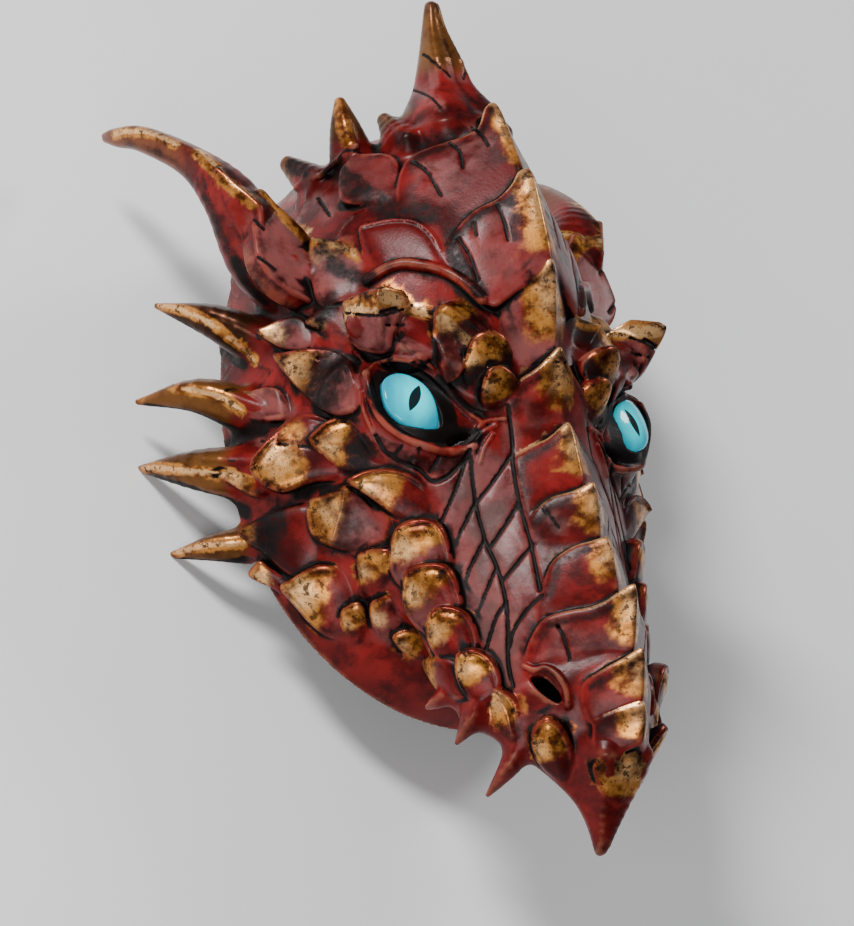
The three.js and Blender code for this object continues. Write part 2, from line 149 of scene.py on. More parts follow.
LIP = [
    dict(outline=[(394, 530), (403, 522), (418, 518), (432, 519), (443, 527), (449, 541),
                  (453, 560), (452, 585), (428, 596), (404, 590), (391, 575), (388, 552)],
         root=(424, 592), lift=4.5, rim=1.2, rim_end=0.5, cream_and_highlight=0.8, gold=0.4, pale=0.6,
         pillow=3.5),
    dict(outline=[(404, 575), (411, 567), (425, 563), (441, 563), (452, 570), (459, 585),
                  (464, 606), (460, 630), (440, 638), (418, 630), (404, 612), (401, 592)],
         root=(440, 634), lift=4.5, rim=1.2, rim_end=0.5, cream_and_highlight=0.6, gold=0.45, pale=0.5,
         pillow=3.5),
    dict(outline=[(428, 616), (435, 607), (448, 605), (462, 609), (473, 620), (479, 636),
                  (480, 655), (468, 670), (448, 668), (432, 652), (425, 634)],
         root=(462, 668), lift=4, rim=1.2, rim_end=0.5, cream_and_highlight=0.6, gold=0.4, black_and_shade=0.2,
         pillow=3.5),
    dict(outline=[(455, 656), (463, 649), (476, 648), (489, 654), (498, 667), (502, 686),
                  (494, 702), (476, 704), (463, 693), (455, 675)],
         root=(484, 700), lift=11, rim=1.0, rim_end=0.5, gold=0.6, pillow=3.0),
    dict(outline=[(487, 684), (496, 685), (507, 690), (517, 699), (522, 714), (522, 742),
                  (510, 744), (498, 730), (489, 712)],
         root=(516, 740), lift=2, rim=0.8, rim_end=0.5, gold=0.7, black_and_shade=0.5, pillow=2.5,
         keel=[(494, 690), (508, 712), (513, 735)], keel_height=1),
    dict(outline=[(531, 733), (537, 722), (547, 716), (559, 722), (568, 735), (574, 752),
                  (574, 772), (566, 784), (550, 776), (537, 762), (531, 748)],
         root=(562, 780), lift=4, rim=0.9, rim_end=0.5, gold=0.5, black_and_shade=0.4, pillow=3),
    dict(outline=[(356, 556), (365, 551), (376, 549), (388, 551), (392, 568), (390, 586),
                  (382, 602), (372, 604), (362, 594), (357, 575)],
         root=(382, 600), lift=4.5, gold=0.5, cream_and_highlight=0.6, black_and_shade=0.4, pillow=2.5),
    dict(outline=[(340, 613), (348, 606), (358, 603), (366, 610), (368, 628), (364, 646),
                  (352, 644), (343, 630)],
         root=(362, 642), lift=4, gold=0.5, cream_and_highlight=0.5, black_and_shade=0.3, pillow=2),
    dict(outline=[(369, 606), (378, 599), (389, 596), (398, 603), (404, 618), (406, 634),
                  (396, 644), (382, 642), (371, 626)],
         root=(398, 640), lift=4, cream_and_highlight=0.8, gold=0.1, black_and_shade=0.4, pale=0.4, pillow=3),
    dict(outline=[(392, 639), (400, 632), (411, 630), (421, 634), (428, 646), (432, 660),
                  (418, 662), (403, 654)],
         root=(426, 658), lift=4, gold=0.7, black_and_shade=0.3, pillow=2),
    dict(outline=[(412, 666), (420, 661), (430, 657), (441, 660), (450, 671), (458, 686),
                  (460, 700), (444, 698), (428, 688)],
         root=(450, 694), lift=4, gold=0.7, black_and_shade=0.2, pillow=2),
]
BROW = [
    dict(outline=[(341, 303), (352, 297), (366, 291), (380, 290), (388, 305), (388, 335),
                  (386, 354), (366, 353), (352, 345), (344, 326)],
         root=(376, 350), lift=22, root_lift=3, gold=0.4, cream_and_highlight=1, black_and_shade=0.2, pale=0.8,
         pillow=1.5),
    dict(outline=[(376, 290), (386, 287), (400, 286), (414, 289), (427, 296), (436, 308),
                  (438, 335), (432, 357), (408, 354), (394, 340), (384, 322), (378, 304)],
         root=(414, 352), lift=6, root_lift=3, gold=0.45, cream_and_highlight=1, black_and_shade=0.2, pale=0.8,
         pillow=1.5),
    dict(outline=[(434, 318), (437, 307), (446, 302), (464, 302), (482, 308), (496, 322),
                  (486, 340), (470, 352), (462, 376), (450, 368), (441, 350), (435, 334)],
         root=(470, 358), lift=8, gold=0.3, black_and_shade=0.8, pale=0.3, pillow=1.5,
         keel=[(438, 306), (454, 318), (474, 334)], keel_height=2.5),
    dict(outline=[(469, 346), (476, 336), (488, 331), (501, 334), (511, 344), (516, 358),
                  (510, 372), (492, 388), (478, 402), (468, 390), (463, 372)],
         root=(484, 394), lift=7, gold=0.4, black_and_shade=1, pillow=2),
    dict(outline=[(485, 376), (492, 368), (502, 366), (512, 372), (519, 382), (514, 396),
                  (500, 412), (487, 412), (481, 398)],
         root=(494, 410), lift=6, gold=0.7, black_and_shade=0.4, pillow=2),
    dict(outline=[(309, 240), (314, 236), (328, 239), (346, 245), (362, 253), (380, 266),
                  (372, 284), (352, 296), (336, 302), (318, 302), (311, 284), (308, 260)],
         root=(356, 284), lift=9, gold=0.12, cream_and_highlight=0.6, black_and_shade=0.5, pale=0.9, pillow=1.5),
]
FOREHEAD = [
    dict(outline=[(340, 152), (352, 149), (370, 151), (388, 153), (398, 162), (401, 185),
                  (402, 210), (386, 207), (364, 204), (344, 202), (337, 190), (337, 168)],
         root=(394, 205), lift=4, pale=0.4, pillow=2),
    dict(outline=[(358, 229), (374, 222), (398, 218), (418, 221), (434, 233), (444, 250),
                  (448, 268), (425, 274), (400, 270), (382, 274), (366, 258)],
         root=(425, 270), lift=3.5, rim=1, rim_end=0.45, pillow=2.5),
    dict(outline=[(296, 198), (318, 198), (345, 201), (374, 205), (399, 216), (386, 224),
                  (360, 228), (328, 229), (300, 222)],
         root=(392, 218), lift=1.5, pillow=1.5),
]
# Plates over the root of the large horn. deep is their thickness, and around is the share
# of the black wash and painted shade that lies around other scales.
HORN_PLATES = [
    dict(outline=[(257, 190), (264, 189), (276, 202), (291, 216), (306, 231), (314, 246),
                  (317, 275), (319, 302), (302, 298), (284, 288), (269, 274), (258, 256),
                  (254, 232), (254, 208)],
         root=(304, 280), lift=3.5, gold=0.1, pale=0.9, pillow=1.2, deep=10, around=0.4),
    dict(outline=[(214, 168), (222, 171), (236, 184), (252, 197), (262, 210), (262, 240),
                  (264, 272), (250, 262), (237, 242), (226, 220), (218, 194)],
         root=(256, 250), lift=2.5, gold=0.15, pale=0.2, pillow=1, deep=10, around=0.4),
]

# Plates of the crest: the tip and the root, which is the lower end of the ridge, lie on the
# middle plane, and corner is the free edge's low end on the skin. The outline runs past the
# middle plane. gold is how far the gold reaches to the side of the ridge.
CREST = [
    dict(outline=[(493, 101), (516, 96), (530, 160), (524, 200), (484, 222), (447, 256),
                  (424, 240), (402, 220), (396, 196), (400, 170), (413, 154), (440, 143),
                  (465, 135), (478, 126), (484, 108)],
         root=(520, 170), corner=(398, 196), gold=0.1, black_and_shade=0.3, pillow=2),
    dict(outline=[(528, 167), (545, 162), (562, 200), (558, 262), (540, 276), (516, 292),
                  (496, 306), (478, 298), (460, 282), (446, 266), (441, 254), (450, 237),
                  (462, 221), (477, 208), (497, 198), (511, 184), (518, 171)],
         root=(547, 250), corner=(442, 256), gold=0.22, black_and_shade=0.3, pale=0.5,
         pillow=2),
    dict(outline=[(552, 257), (572, 252), (576, 300), (572, 350), (546, 358), (520, 374),
                  (512, 358), (507, 338), (500, 318), (497, 300), (514, 284), (532, 272)],
         root=(553, 338), corner=(500, 316), gold=0.34, black_and_shade=0.1, pale=0.9,
         pillow=1.5),
    dict(outline=[(561, 345), (580, 342), (584, 400), (576, 432), (545, 446), (516, 462),
                  (510, 446), (507, 422), (505, 404), (509, 392), (520, 379), (538, 367)],
         root=(560, 408), corner=(506, 408), gold=0.24, black_and_shade=0.4, pale=0.3, pillow=1.5),
    dict(outline=[(568, 420), (586, 416), (596, 460), (598, 488), (570, 496), (546, 506),
                  (531, 524), (521, 512), (514, 488), (511, 462), (529, 447), (548, 437)],
         root=(580, 476), corner=(512, 466), gold=0.17, black_and_shade=0.3, pillow=1.5),
    dict(outline=[(593, 480), (610, 476), (614, 530), (600, 545), (572, 552), (552, 566),
                  (543, 592), (538, 570), (531, 545), (527, 524), (537, 508), (553, 496),
                  (574, 490)],
         root=(597, 532), corner=(528, 524), gold=0.22, black_and_shade=0.4, pillow=1.5),
    dict(outline=[(607, 535), (624, 530), (632, 580), (618, 600), (590, 608), (560, 614),
                  (540, 626), (537, 606), (543, 585), (551, 562), (572, 546), (592, 540)],
         root=(614, 580), corner=(545, 588), gold=0.22, black_and_shade=0.4, pillow=1.5),
    dict(outline=[(635, 582), (654, 578), (652, 640), (634, 655), (612, 664), (588, 680),
                  (578, 700), (562, 684), (548, 670), (531, 672), (524, 660), (530, 638),
                  (543, 619), (565, 611), (588, 607), (606, 600), (620, 590)],
         root=(632, 642), corner=(527, 656), gold=0.24, pale=0.2, black_and_shade=0.2,
         pillow=1.5),
    dict(outline=[(643, 646), (660, 644), (660, 700), (640, 708), (614, 712), (594, 726),
                  (584, 712), (581, 692), (586, 680), (604, 668), (624, 657)],
         root=(641, 697), corner=(582, 694), gold=0.3, black_and_shade=0.4, pillow=1.2),
    dict(outline=[(644, 701), (660, 700), (660, 736), (640, 745), (614, 756), (602, 764),
                  (595, 750), (592, 734), (594, 720), (612, 711), (628, 705)],
         root=(642, 738), corner=(593, 738), gold=0.3, black_and_shade=0.5, pillow=1.2),
    dict(outline=[(637, 741), (654, 740), (650, 790), (620, 806), (606, 797), (597, 782),
                  (593, 767), (602, 757), (618, 749)],
         root=(621, 797), corner=(595, 772), gold=0.45, black_and_shade=0.2, pillow=1.2),
]

# Horns, spikes and fangs: places from root to tip, each a pixel, the distance to the side
# of the middle plane, and the radius there.
SPIKES = {
    "horn": [(325, 300, 54, 20), (268, 262, 75, 18.5), (231, 200, 90, 13.5),
             (193, 163, 98, 8.2), (145, 140, 104, 6.4), (120, 138, 105.5, 4.8),
             (107, 138, 106, 2.6)],
    "side_1": [(262, 345, 76, 12), (215, 322, 93, 8.5), (157, 306, 106, 1.5)],
    "side_2": [(262, 418, 82, 12), (200, 396, 102, 8.5), (138, 402, 116, 1.5)],
    "side_3": [(262, 475, 84, 14), (200, 470, 102, 10), (141, 469, 112.3, 1.8)],
    "side_4": [(262, 545, 82, 10), (220, 547, 98, 7), (173, 555, 107.7, 1.8)],
    "rear_1": [(356, 172, 34, 13), (346, 132, 40, 8), (340, 103, 42, 3)],
    "rear_2": [(325, 192, 40, 12), (289, 165, 46, 4.5)],
    "rear_3": [(410, 152, 20, 12), (385, 121, 24, 4)],
    "fang_1": [(482, 702, 40, 8), (472, 720, 45, 5.5), (457, 743, 48, 1.2)],
    "fang_2": [(525, 735, 24, 8), (511, 764, 31, 5.2), (488, 795, 34, 1.2)],
    "fang_3": [(448, 694, 47, 5), (438, 701, 49, 3.5), (428, 707, 50, 1.5)],
    "crown": [(447, 145, 0, 26), (441, 102, 0, 15), (438, 70, 0, 10.5), (433, 35, 0, 6),
              (431, 8, 0, 3.5)],
    "beak": [(607, 755, 0, 17), (603, 812, 0, 8), (600, 850, 0, 2.5)],
}

# Paint on the spikes: its tone, and the share of the length that stays bare at the root
SPIKE_TONES = {
    "horn": ("copper", 0.35),
    "side_1": ("bronze", 0.0),
    "side_2": ("bronze", 0.05),
    "side_3": ("bronze", 0.1),
    "side_4": ("bronze", 0.1),
    "rear_1": ("bronze", 0.25),
    "rear_2": ("bronze", 0.4),
    "rear_3": ("bronze", 0.5),
    "crown": ("bronze", 0.3),
}

# Rolls raised on the skin: radius, how far the middle stands off, pixels
ROLLS = [
    (1.9, 0.6, [(366, 374), (369, 388), (373, 402), (381, 418), (395, 431), (415, 442),
                (440, 450), (462, 452), (474, 446)]),
    (1.3, 0.5, [(366, 374), (378, 363), (395, 359), (412, 361)]),
    (1.2, 0.6, [(412, 361), (426, 370), (444, 387), (462, 407), (480, 421)]),
    (0.9, 0.5, [(420, 358), (436, 371), (456, 395), (470, 409), (484, 414)]),
    (1.1, 0.5, [(478, 428), (488, 421), (506, 419)]),
    (1.0, 0.4, [(471, 456), (474, 444), (484, 432), (497, 425)]),
    (1.0, 0.4, [(480, 462), (484, 448), (493, 434)]),
    (1.0, 0.4, [(362, 392), (364, 410), (372, 430), (380, 446), (396, 458), (414, 464)]),
    (1.1, 0.4, [(349, 336), (354, 350), (364, 362), (366, 374)]),
    (1.4, 0.5, [(524, 666), (534, 670), (546, 668), (558, 676), (566, 690), (568, 706)]),
    (2.4, 0.8, [(368, 281), (384, 270), (402, 264), (424, 266), (446, 272), (466, 284),
                (482, 299)]),
    (1.4, 0.4, [(296, 188), (320, 176), (340, 158), (356, 146)]),
]

# Lines cut into the skin: radius, pixels
CUTS = [
    (1.0, [(470, 455), (475, 500), (485, 540), (498, 570), (507, 610), (508, 660),
           (513, 686)]),
    (0.9, [(466, 458), (455, 490), (441, 522)]),
    (0.9, [(476, 500), (464, 525), (451, 552)]),
    (0.9, [(484, 540), (470, 568), (461, 594)]),
    (0.9, [(497, 566), (486, 592), (474, 622)]),
    (0.9, [(507, 602), (496, 618), (486, 650)]),
    (0.9, [(510, 456), (494, 480), (477, 502)]),
    (0.9, [(518, 504), (506, 524), (491, 546)]),
    (0.9, [(533, 544), (518, 562), (503, 580)]),
    (0.9, [(543, 595), (527, 610), (514, 630), (510, 646)]),
    (1.0, [(508, 405), (512, 440), (513, 466), (520, 505), (531, 545), (540, 590)]),
    (0.8, [(402, 446), (392, 457)]),
    (0.8, [(420, 448), (409, 462)]),
    (0.8, [(438, 458), (430, 472)]),
    (1.1, [(376, 436), (386, 452), (404, 463), (420, 470), (432, 481), (446, 477),
           (460, 464), (470, 450)]),
    (0.8, [(413, 162), (428, 173), (441, 196)]),
    (0.8, [(450, 143), (460, 152), (463, 168)]),
    (0.8, [(472, 128), (482, 136), (488, 146)]),
    (0.8, [(458, 238), (470, 256), (478, 280)]),
    (0.7, [(474, 222), (476, 236)]),
    (0.8, [(497, 204), (504, 222), (508, 240)]),
    (0.8, [(318, 198), (326, 210), (330, 216)]),
    (0.7, [(254, 220), (264, 230)]),
    (0.7, [(258, 257), (275, 270)]),
    (0.5, [(423, 54), (434, 62), (450, 77)]),
    (0.5, [(413, 90), (430, 97), (441, 108)]),
    (0.7, [(262, 441), (280, 444), (308, 447)]),
    (0.7, [(380, 312), (396, 308)]),
    (0.6, [(346, 313), (364, 315), (382, 315), (398, 311), (412, 305)]),
    (0.6, [(386, 325), (404, 325)]),
    (0.6, [(538, 365), (558, 362)]),
    (0.6, [(543, 508), (552, 518), (559, 528)]),
    (0.8, [(550, 615), (560, 630), (566, 644), (570, 660)]),
    (0.7, [(309, 348), (318, 358)]),
]

# Openings through the skin, and the lens in the eye's
EYE_FACING = np.array((-0.3, -0.12, 0.95)) / np.linalg.norm((-0.3, -0.12, 0.95))
LENS_MIDDLE = np.array((-57.2, 0.6, 116.6))
LENS_OUTLINE = [(383, 380), (391, 373), (402, 372), (416, 378), (428, 388), (436, 402),
                (441, 424), (432, 430), (416, 427), (400, 420), (388, 408), (383, 394)]
PEEPHOLE = [(446, 441), (455, 435), (464, 432), (471, 433), (468, 437), (460, 441),
            (451, 444)]
PEEPHOLE_FACING = np.array((-0.40, 0.40, 0.82)) / np.linalg.norm((-0.40, 0.40, 0.82))
NOSTRIL = [(530, 677), (541, 676), (553, 685), (561, 698), (556, 702), (545, 696),
           (534, 686)]
HOLE_REACH = 12.0        # of an opening, each way from its middle
LENS_RADIUS = 34.0
LENS_PROUD = 1.5
LENS_THICKNESS = 3.0
LENS_RINGS = 10
EDGE_GAP = 0.3
# The milky middle is the brightest part of the painted glow
MILKY_GLOW_REACH = 18.0        # of the milky middle
PUPIL = dict(middle=(414, 399), top=(419, 386), half_width=2.2)

# Brush strokes: tone, radius in pixels, strength, pixels
STROKES = [
    ("pale", 34, 1.0, [(480, 470), (492, 540), (498, 600), (500, 660)]),
    ("pale", 18, 0.8, [(452, 500), (468, 560), (482, 620)]),
    ("black_and_shade", 11, 1.0, [(374, 392), (382, 374), (400, 367), (420, 374), (440, 396),
                       (450, 420), (440, 434), (418, 432), (396, 422), (380, 404)]),
    # Painted shade in and around the peephole
    ("black_and_shade", 13, 1.0, [(440, 438), (458, 436), (474, 437)]),
    ("black_and_shade", 9, 1.0, [(438, 402), (444, 418), (440, 432)]),
    ("black_and_shade", 8, 0.8, [(440, 380), (462, 402), (480, 412)]),
    ("black_and_shade", 11, 0.4, [(384, 442), (410, 458), (440, 466), (464, 456)]),
    # Painted shade: the next five strokes darken the undersides of the side spikes and the root
    # of the third
    ("black_and_shade", 10, 1.0, [(150, 408), (176, 412), (200, 416), (238, 432)]),
    ("black_and_shade", 12, 0.7, [(226, 444), (246, 434), (262, 428)]),
    ("black_and_shade", 10, 1.0, [(160, 480), (190, 488), (218, 500), (246, 512)]),
    ("black_and_shade", 9, 0.9, [(172, 320), (196, 334), (222, 350), (244, 364)]),
    ("black_and_shade", 9, 0.9, [(186, 562), (214, 562), (244, 560)]),
    ("black_and_shade", 12, 0.8, [(236, 262), (246, 282), (262, 300)]),
    # Painted shade along the lower side of the large horn
    ("black_and_shade", 6, 0.35, [(128, 144), (150, 150), (176, 164), (196, 190)]),
    ("pale", 10, 0.9, [(294, 226), (300, 250), (306, 280)]),
    ("gold", 12, 1.0, [(346, 304), (360, 302), (374, 303)]),
    ("cream_and_highlight", 5, 1.0, [(348, 310), (364, 310), (376, 311)]),
    ("gold", 16, 1.0, [(379, 294), (394, 297), (410, 303), (424, 312)]),
    ("cream_and_highlight", 10, 1.0, [(384, 296), (398, 301), (412, 308), (422, 314)]),
    ("cream_and_highlight", 9, 0.9, [(442, 318), (454, 328), (466, 340)]),
    # Painted highlight along the top of the large horn
    ("gold", 8, 0.6, [(118, 131), (145, 127), (172, 132)]),
    ("gold", 12, 1.0, [(199, 152), (215, 168), (234, 186), (254, 202)]),
    ("gold", 13, 1.0, [(259, 195), (278, 210), (308, 240)]),
    ("gold", 13, 0.9, [(340, 103), (342, 125), (346, 140)]),
    ("black_and_shade", 14, 0.6, [(289, 165), (306, 170)]),
    # Painted shade down the right side of the crown horn
    ("black_and_shade", 8, 0.4, [(446, 40), (458, 76), (474, 116)]),
    ("black_and_shade", 16, 0.35, [(420, 120), (446, 112), (470, 118)]),
    # Painted highlight down the left side of the crown horn
    ("pale", 9, 0.8, [(430, 30), (431, 60), (434, 86)]),
    ("black_and_shade", 16, 0.5, [(400, 140), (430, 146), (462, 134)]),
    ("black_and_shade", 20, 0.55, [(330, 170), (360, 190), (390, 210), (430, 215)]),
    ("black_and_shade", 14, 0.6, [(320, 250), (340, 270), (370, 280)]),
    ("black_and_shade", 14, 0.6, [(450, 232), (458, 262), (480, 290)]),
    ("black_and_shade", 18, 0.5, [(270, 300), (300, 318), (330, 300)]),
    ("black_and_shade", 10, 0.5, [(512, 200), (520, 250), (530, 280)]),
    ("black_and_shade", 12, 0.5, [(200, 180), (215, 220), (236, 262), (262, 288)]),
]

# Narrow strokes along the ridges of the side spikes, the large horn and its plates: a golden
# line with a cream one in it, gold dry-brush and a painted highlight
RIDGE_HIGHLIGHTS = [
    [(159, 305), (176, 308), (207, 321), (232, 340), (254, 361)],
    [(140, 398), (161, 389), (192, 390), (220, 397), (240, 410)],
    [(142, 468), (161, 468), (192, 471), (223, 475)],
    [(175, 553), (207, 545), (241, 544)],
    [(114, 134), (130, 131), (152, 133), (176, 144)],
    [(199, 150), (215, 165), (234, 183), (254, 197)],
    [(259, 192), (278, 205), (308, 233)],
    [(313, 239), (335, 244), (357, 255)],
]


def smooth_step(low, high, value):
    share = np.clip((value - low) / (high - low), 0, 1)
    return share * share * (3 - 2 * share)


def join(a, b, size):
    """Union of two distances with a smooth crease of this size."""
    share = np.clip(0.5 + 0.5 * (b - a) / size, 0, 1)
    return b + (a - b) * share - size * share * (1 - share)


def cut(a, b, size):
    return -join(-a, -b, size)


def unit(vector):
    return vector / np.linalg.norm(vector, axis=-1, keepdims=True)


# The smooth form of the head, as in the solids
def arch(share, power, root):
    return (1 - np.clip(share, 0, 1) ** power) ** root


def rounded_section(x, up, half_width, height, power):
    reach = (np.abs(x) / half_width) ** power + (np.maximum(up, 0) / height) ** power
    return (reach ** (1 / power) - 1) * np.minimum(half_width, height)


def head_form(x, y, z):
    crown = arch((y - WIDEST_Y) / (CROWN_Y - WIDEST_Y), 1.5, 0.5)
    chin = arch((WIDEST_Y - y) / (WIDEST_Y - CHIN_Y), 2.4, 0.5)
    half_width = HEAD_HALF_WIDTH * np.where(y > WIDEST_Y, crown, chin) + 1
    over_crown = arch((y - FOREHEAD_Y) / CROWN_FALL, 2.4, 0.5)
    over_face = arch((FOREHEAD_Y - y) / FACE_FALL, 1.5, 0.5)
    height = HEAD_DEPTH * np.where(y > FOREHEAD_Y, over_crown, over_face) + 1
    power = 1.6 + 0.45 / (1 + np.exp((WEDGE_END - y) / WEDGE_BLEND))
    sides = 0.9 * rounded_section(x, z - RIM_HEIGHT, half_width, height, power)
    return cut(cut(sides, y - CROWN_END, 8), CHIN_END - y, 8)


def snout_form(x, y, z):
    beak = (BEAK_START - y) / (BEAK_START - BEAK_END)
    full = SNOUT_HALF_WIDTH + SNOUT_NARROWING * np.maximum(y, BEAK_START)
    along = np.clip(beak, 0, 1)
    bow = 4 * LIP_BOW * along * (1 - along)
    height = np.maximum(SNOUT_DEPTH * arch(beak, 1.8, 1) - bow, 0) + 1
    up = z - LIP_HEIGHT - LIP_RISE * along - bow
    half_width = full * arch(beak, 1.4, 1.5) + 1
    sides = 0.8 * rounded_section(x, up, half_width, height, SNOUT_ROUNDNESS)
    under = -up - LIP_DEPTH + BEAK_THINNING * along
    whole = cut(cut(sides, under, 6), y - SNOUT_ROOT_Y, 20)
    return cut(whole, BEAK_END + 1 - y, 2)


def capsule(x, y, z, start, end, start_radius, end_radius):
    axis = np.subtract(end, start)
    along = (x - start[0]) * axis[0] + (y - start[1]) * axis[1] + (z - start[2]) * axis[2]
    along = np.clip(along / (axis @ axis), 0, 1)
    away = np.sqrt((x - start[0] - axis[0] * along) ** 2
                   + (y - start[1] - axis[1] * along) ** 2
                   + (z - start[2] - axis[2] * along) ** 2)
    return away - start_radius - (end_radius - start_radius) * along


# Bulges on the form: start, end, radius at each, size of the crease around it
BROW_RIDGE = ((-30, 14, 128), (-68, 39, 116), 8, 9, 12)
FOREHEAD_RIDGE = ((0, 128, 139), (0, 60, 143), 9, 7, 16)
EYE_MOUND = ((-50, -8, 107), (-66, 12, 99), 12, 12, 12)
SNOUT_CREASE = 18.0


def base_form(x, y, z):
    value = join(head_form(x, y, z), snout_form(x, y, z), SNOUT_CREASE)
    for *bulge, crease in (BROW_RIDGE, FOREHEAD_RIDGE, EYE_MOUND):
        value = join(value, capsule(x, y, z, *bulge), crease)
    return value


# Plain scales behind the horns and over the back of the head
REAR_ROW = 24.0          # height of a row
REAR_WIDTH = 30.0        # width of a scale
REAR_RELIEF = 2.4
REAR_RADIUS = 95.0       # of the head, for the count of scales around it
REAR_START = 20.0        # they grow from this far up the head,
REAR_FULL = 45.0         # to their full relief here,
REAR_FADE = 20.0         # and fade out within this height over a slanting line
REAR_TOP = 88.0
REAR_SLANT = 0.3
REAR_SLANT_FROM = 60.0


def rear_relief(x, y, z):
    """Height of these scales. Each row hangs over the one below it."""
    level = (z - RIM_HEIGHT) / REAR_ROW
    around = np.arctan2(y - WIDEST_Y, -x) * REAR_RADIUS / REAR_WIDTH
    top = 0
    for row in (np.floor(level), np.floor(level) - 1):
        aside = (around + 0.5 * (row % 2)) % 1 - 0.5
        up = level - row
        covered = up > 0.45 * (2 * aside) ** 2
        top = np.maximum(top, covered * (1 - up / 1.8))
    above = z - REAR_TOP - REAR_SLANT * np.maximum(y - REAR_SLANT_FROM, 0)
    share = smooth_step(REAR_START, REAR_FULL, y) * smooth_step(REAR_FADE, 0, above)
    return REAR_RELIEF * top * share * smooth_step(CROWN_END, CROWN_END - 5, y)


def between(grid, at):
    """Values of a grid between its samples, at places counted in samples."""
    at = np.clip(at, 0, np.array(grid.shape) - 1.001)
    cell = at.astype(int)
    part = at - cell
    total = 0
    for corner in np.ndindex(*[2] * grid.ndim):
        share = np.prod(np.where(corner, part, 1 - part), axis=-1)
        total = total + share * grid[tuple(np.moveaxis(cell + corner, -1, 0))]
    return total


class Clay:
    """Distances to the skin, sampled on a grid over the right half."""

    def __init__(self):
        count = np.ceil((HIGH - LOW) / STEP).astype(int)
        self.first = np.array((-(count[0] - 0.5) * STEP, LOW[1], LOW[2]))
        self.axes = [(self.first[i] + np.arange(count[i]) * STEP).astype(np.float32)
                     for i in range(3)]
        x, y, z = np.ix_(*self.axes)
        value = base_form(x, y, z)
        steepness = np.sqrt(sum(slope ** 2 for slope in np.gradient(value, STEP)))
        steepness = np.where(value > 0, np.minimum(steepness, 2), steepness)
        self.base = value / np.maximum(steepness, 0.2)
        self.value = np.maximum(self.base - rear_relief(x, y, z), RIM_HEIGHT - z)

    def room(self, places, margin):
        """The part of the grid around some places, as slices and as points."""
        low = np.floor((np.min(places, axis=0) - margin - self.first) / STEP).astype(int)
        high = np.ceil((np.max(places, axis=0) + margin - self.first) / STEP).astype(int)
        spans = [slice(max(a, 0), max(min(b, len(axis)), 0))
                 for a, b, axis in zip(low, high, self.axes)]
        parts = [axis[span] for axis, span in zip(self.axes, spans)]
        points = np.stack(np.meshgrid(*parts, indexing="ij"), axis=-1)
        return tuple(spans), points

    def sample(self, grid, places):
        """Values of a grid at some places. The left half mirrors the right."""
        at = np.array(places, float)
        at[..., 0] = -np.abs(at[..., 0])
        return between(grid, (at - self.first) / STEP)

    def outward(self, places):
        """Direction away from the skin."""
        slopes = [self.sample(self.value, places + step) - self.sample(self.value, places - step)
                  for step in np.eye(3) * STEP]
        return unit(np.stack(slopes, axis=-1) + 1e-9)

    def meet(self, pixels, lift=0.0):
        """Where the pixels' rays first come this close to the skin, or closest to it."""
        way = rays(pixels)
        reach = VIEW_DISTANCE + np.arange(-260, 260, 0.5)
        places = VIEWER + way[:, None, :] * reach[None, :, None]
        height = self.sample(self.value, places) - lift
        met = height < 0
        first = np.where(met.any(1), met.argmax(1), height.argmin(1))
        rows = np.arange(len(way))
        before = height[rows, np.maximum(first - 1, 0)]
        here = height[rows, first]
        back = np.where(here < 0, here / np.minimum(here - before, -1e-6), 0)
        return VIEWER + way * (reach[first] - 0.5 * np.clip(back, 0, 1))[:, None]


def rays(pixels):
    offset = (np.array(pixels, float).reshape(-1, 2) - PICTURE_MIDDLE) / PIXELS_PER_MM
    way = offset[:, :1] * VIEW_RIGHT - offset[:, 1:] * VIEW_UP
    return unit(way - TO_VIEWER * VIEW_DISTANCE)


def on_plane(pixels, origin, normal):
    """Places on a plane behind some pixels."""
    way = rays(pixels)
    reach = ((origin - VIEWER) @ normal) / (way @ normal)
    return VIEWER + way * reach[:, None]


def at_side(pixel, side):
    """Place behind a pixel that is this far to the right of the middle plane."""
    way = rays([pixel])[0]
    return VIEWER + way * (-side - VIEWER[0]) / way[0]


def smooth_line(points, closed=False, steps=4):
    """Points of a smooth curve through the given ones."""
    points = np.array(points, float)
    count = len(points)
    spans = count if closed else count - 1
    out = []
    for i in range(spans):
        if closed:
            a, b, c, d = (points[(i + k) % count] for k in (-1, 0, 1, 2))
        else:
            b, c = points[i], points[i + 1]
            a = points[i - 1] if i > 0 else 2 * b - c
            d = points[i + 2] if i + 2 < count else 2 * c - b
        for t in np.arange(steps) / steps:
            out.append(0.5 * (2 * b + (c - a) * t + (2 * a - 5 * b + 4 * c - d) * t ** 2
                              + (3 * b - a - 3 * c + d) * t ** 3))
    if not closed:
        out.append(points[-1])
    return np.array(out)


def line_distance(points, line):
    """Distance to a line of places, and the share of its length at the nearest one."""
    best = np.full(points.shape[:-1], 1e9)
    share = np.zeros_like(best)
    for i in range(len(line) - 1):
        axis = line[i + 1] - line[i]
        along = np.clip(((points - line[i]) @ axis) / max(axis @ axis, 1e-9), 0, 1)
        away = np.linalg.norm(points - line[i] - along[..., None] * axis, axis=-1)
        nearer = away < best
        best = np.where(nearer, away, best)
        share = np.where(nearer, (i + along) / (len(line) - 1), share)
    return best, share


def inside_outline(points, outline):
    """Whether points of a plane lie inside a closed outline."""
    inside = np.zeros(points.shape[:-1], bool)
    x, y = points[..., 0], points[..., 1]
    for (ax, ay), (bx, by) in zip(outline, np.roll(outline, -1, axis=0)):
        if ay == by:
            continue
        crosses = (ay > y) != (by > y)
        inside ^= crosses & (x < ax + (bx - ax) * (y - ay) / (by - ay))
    return inside


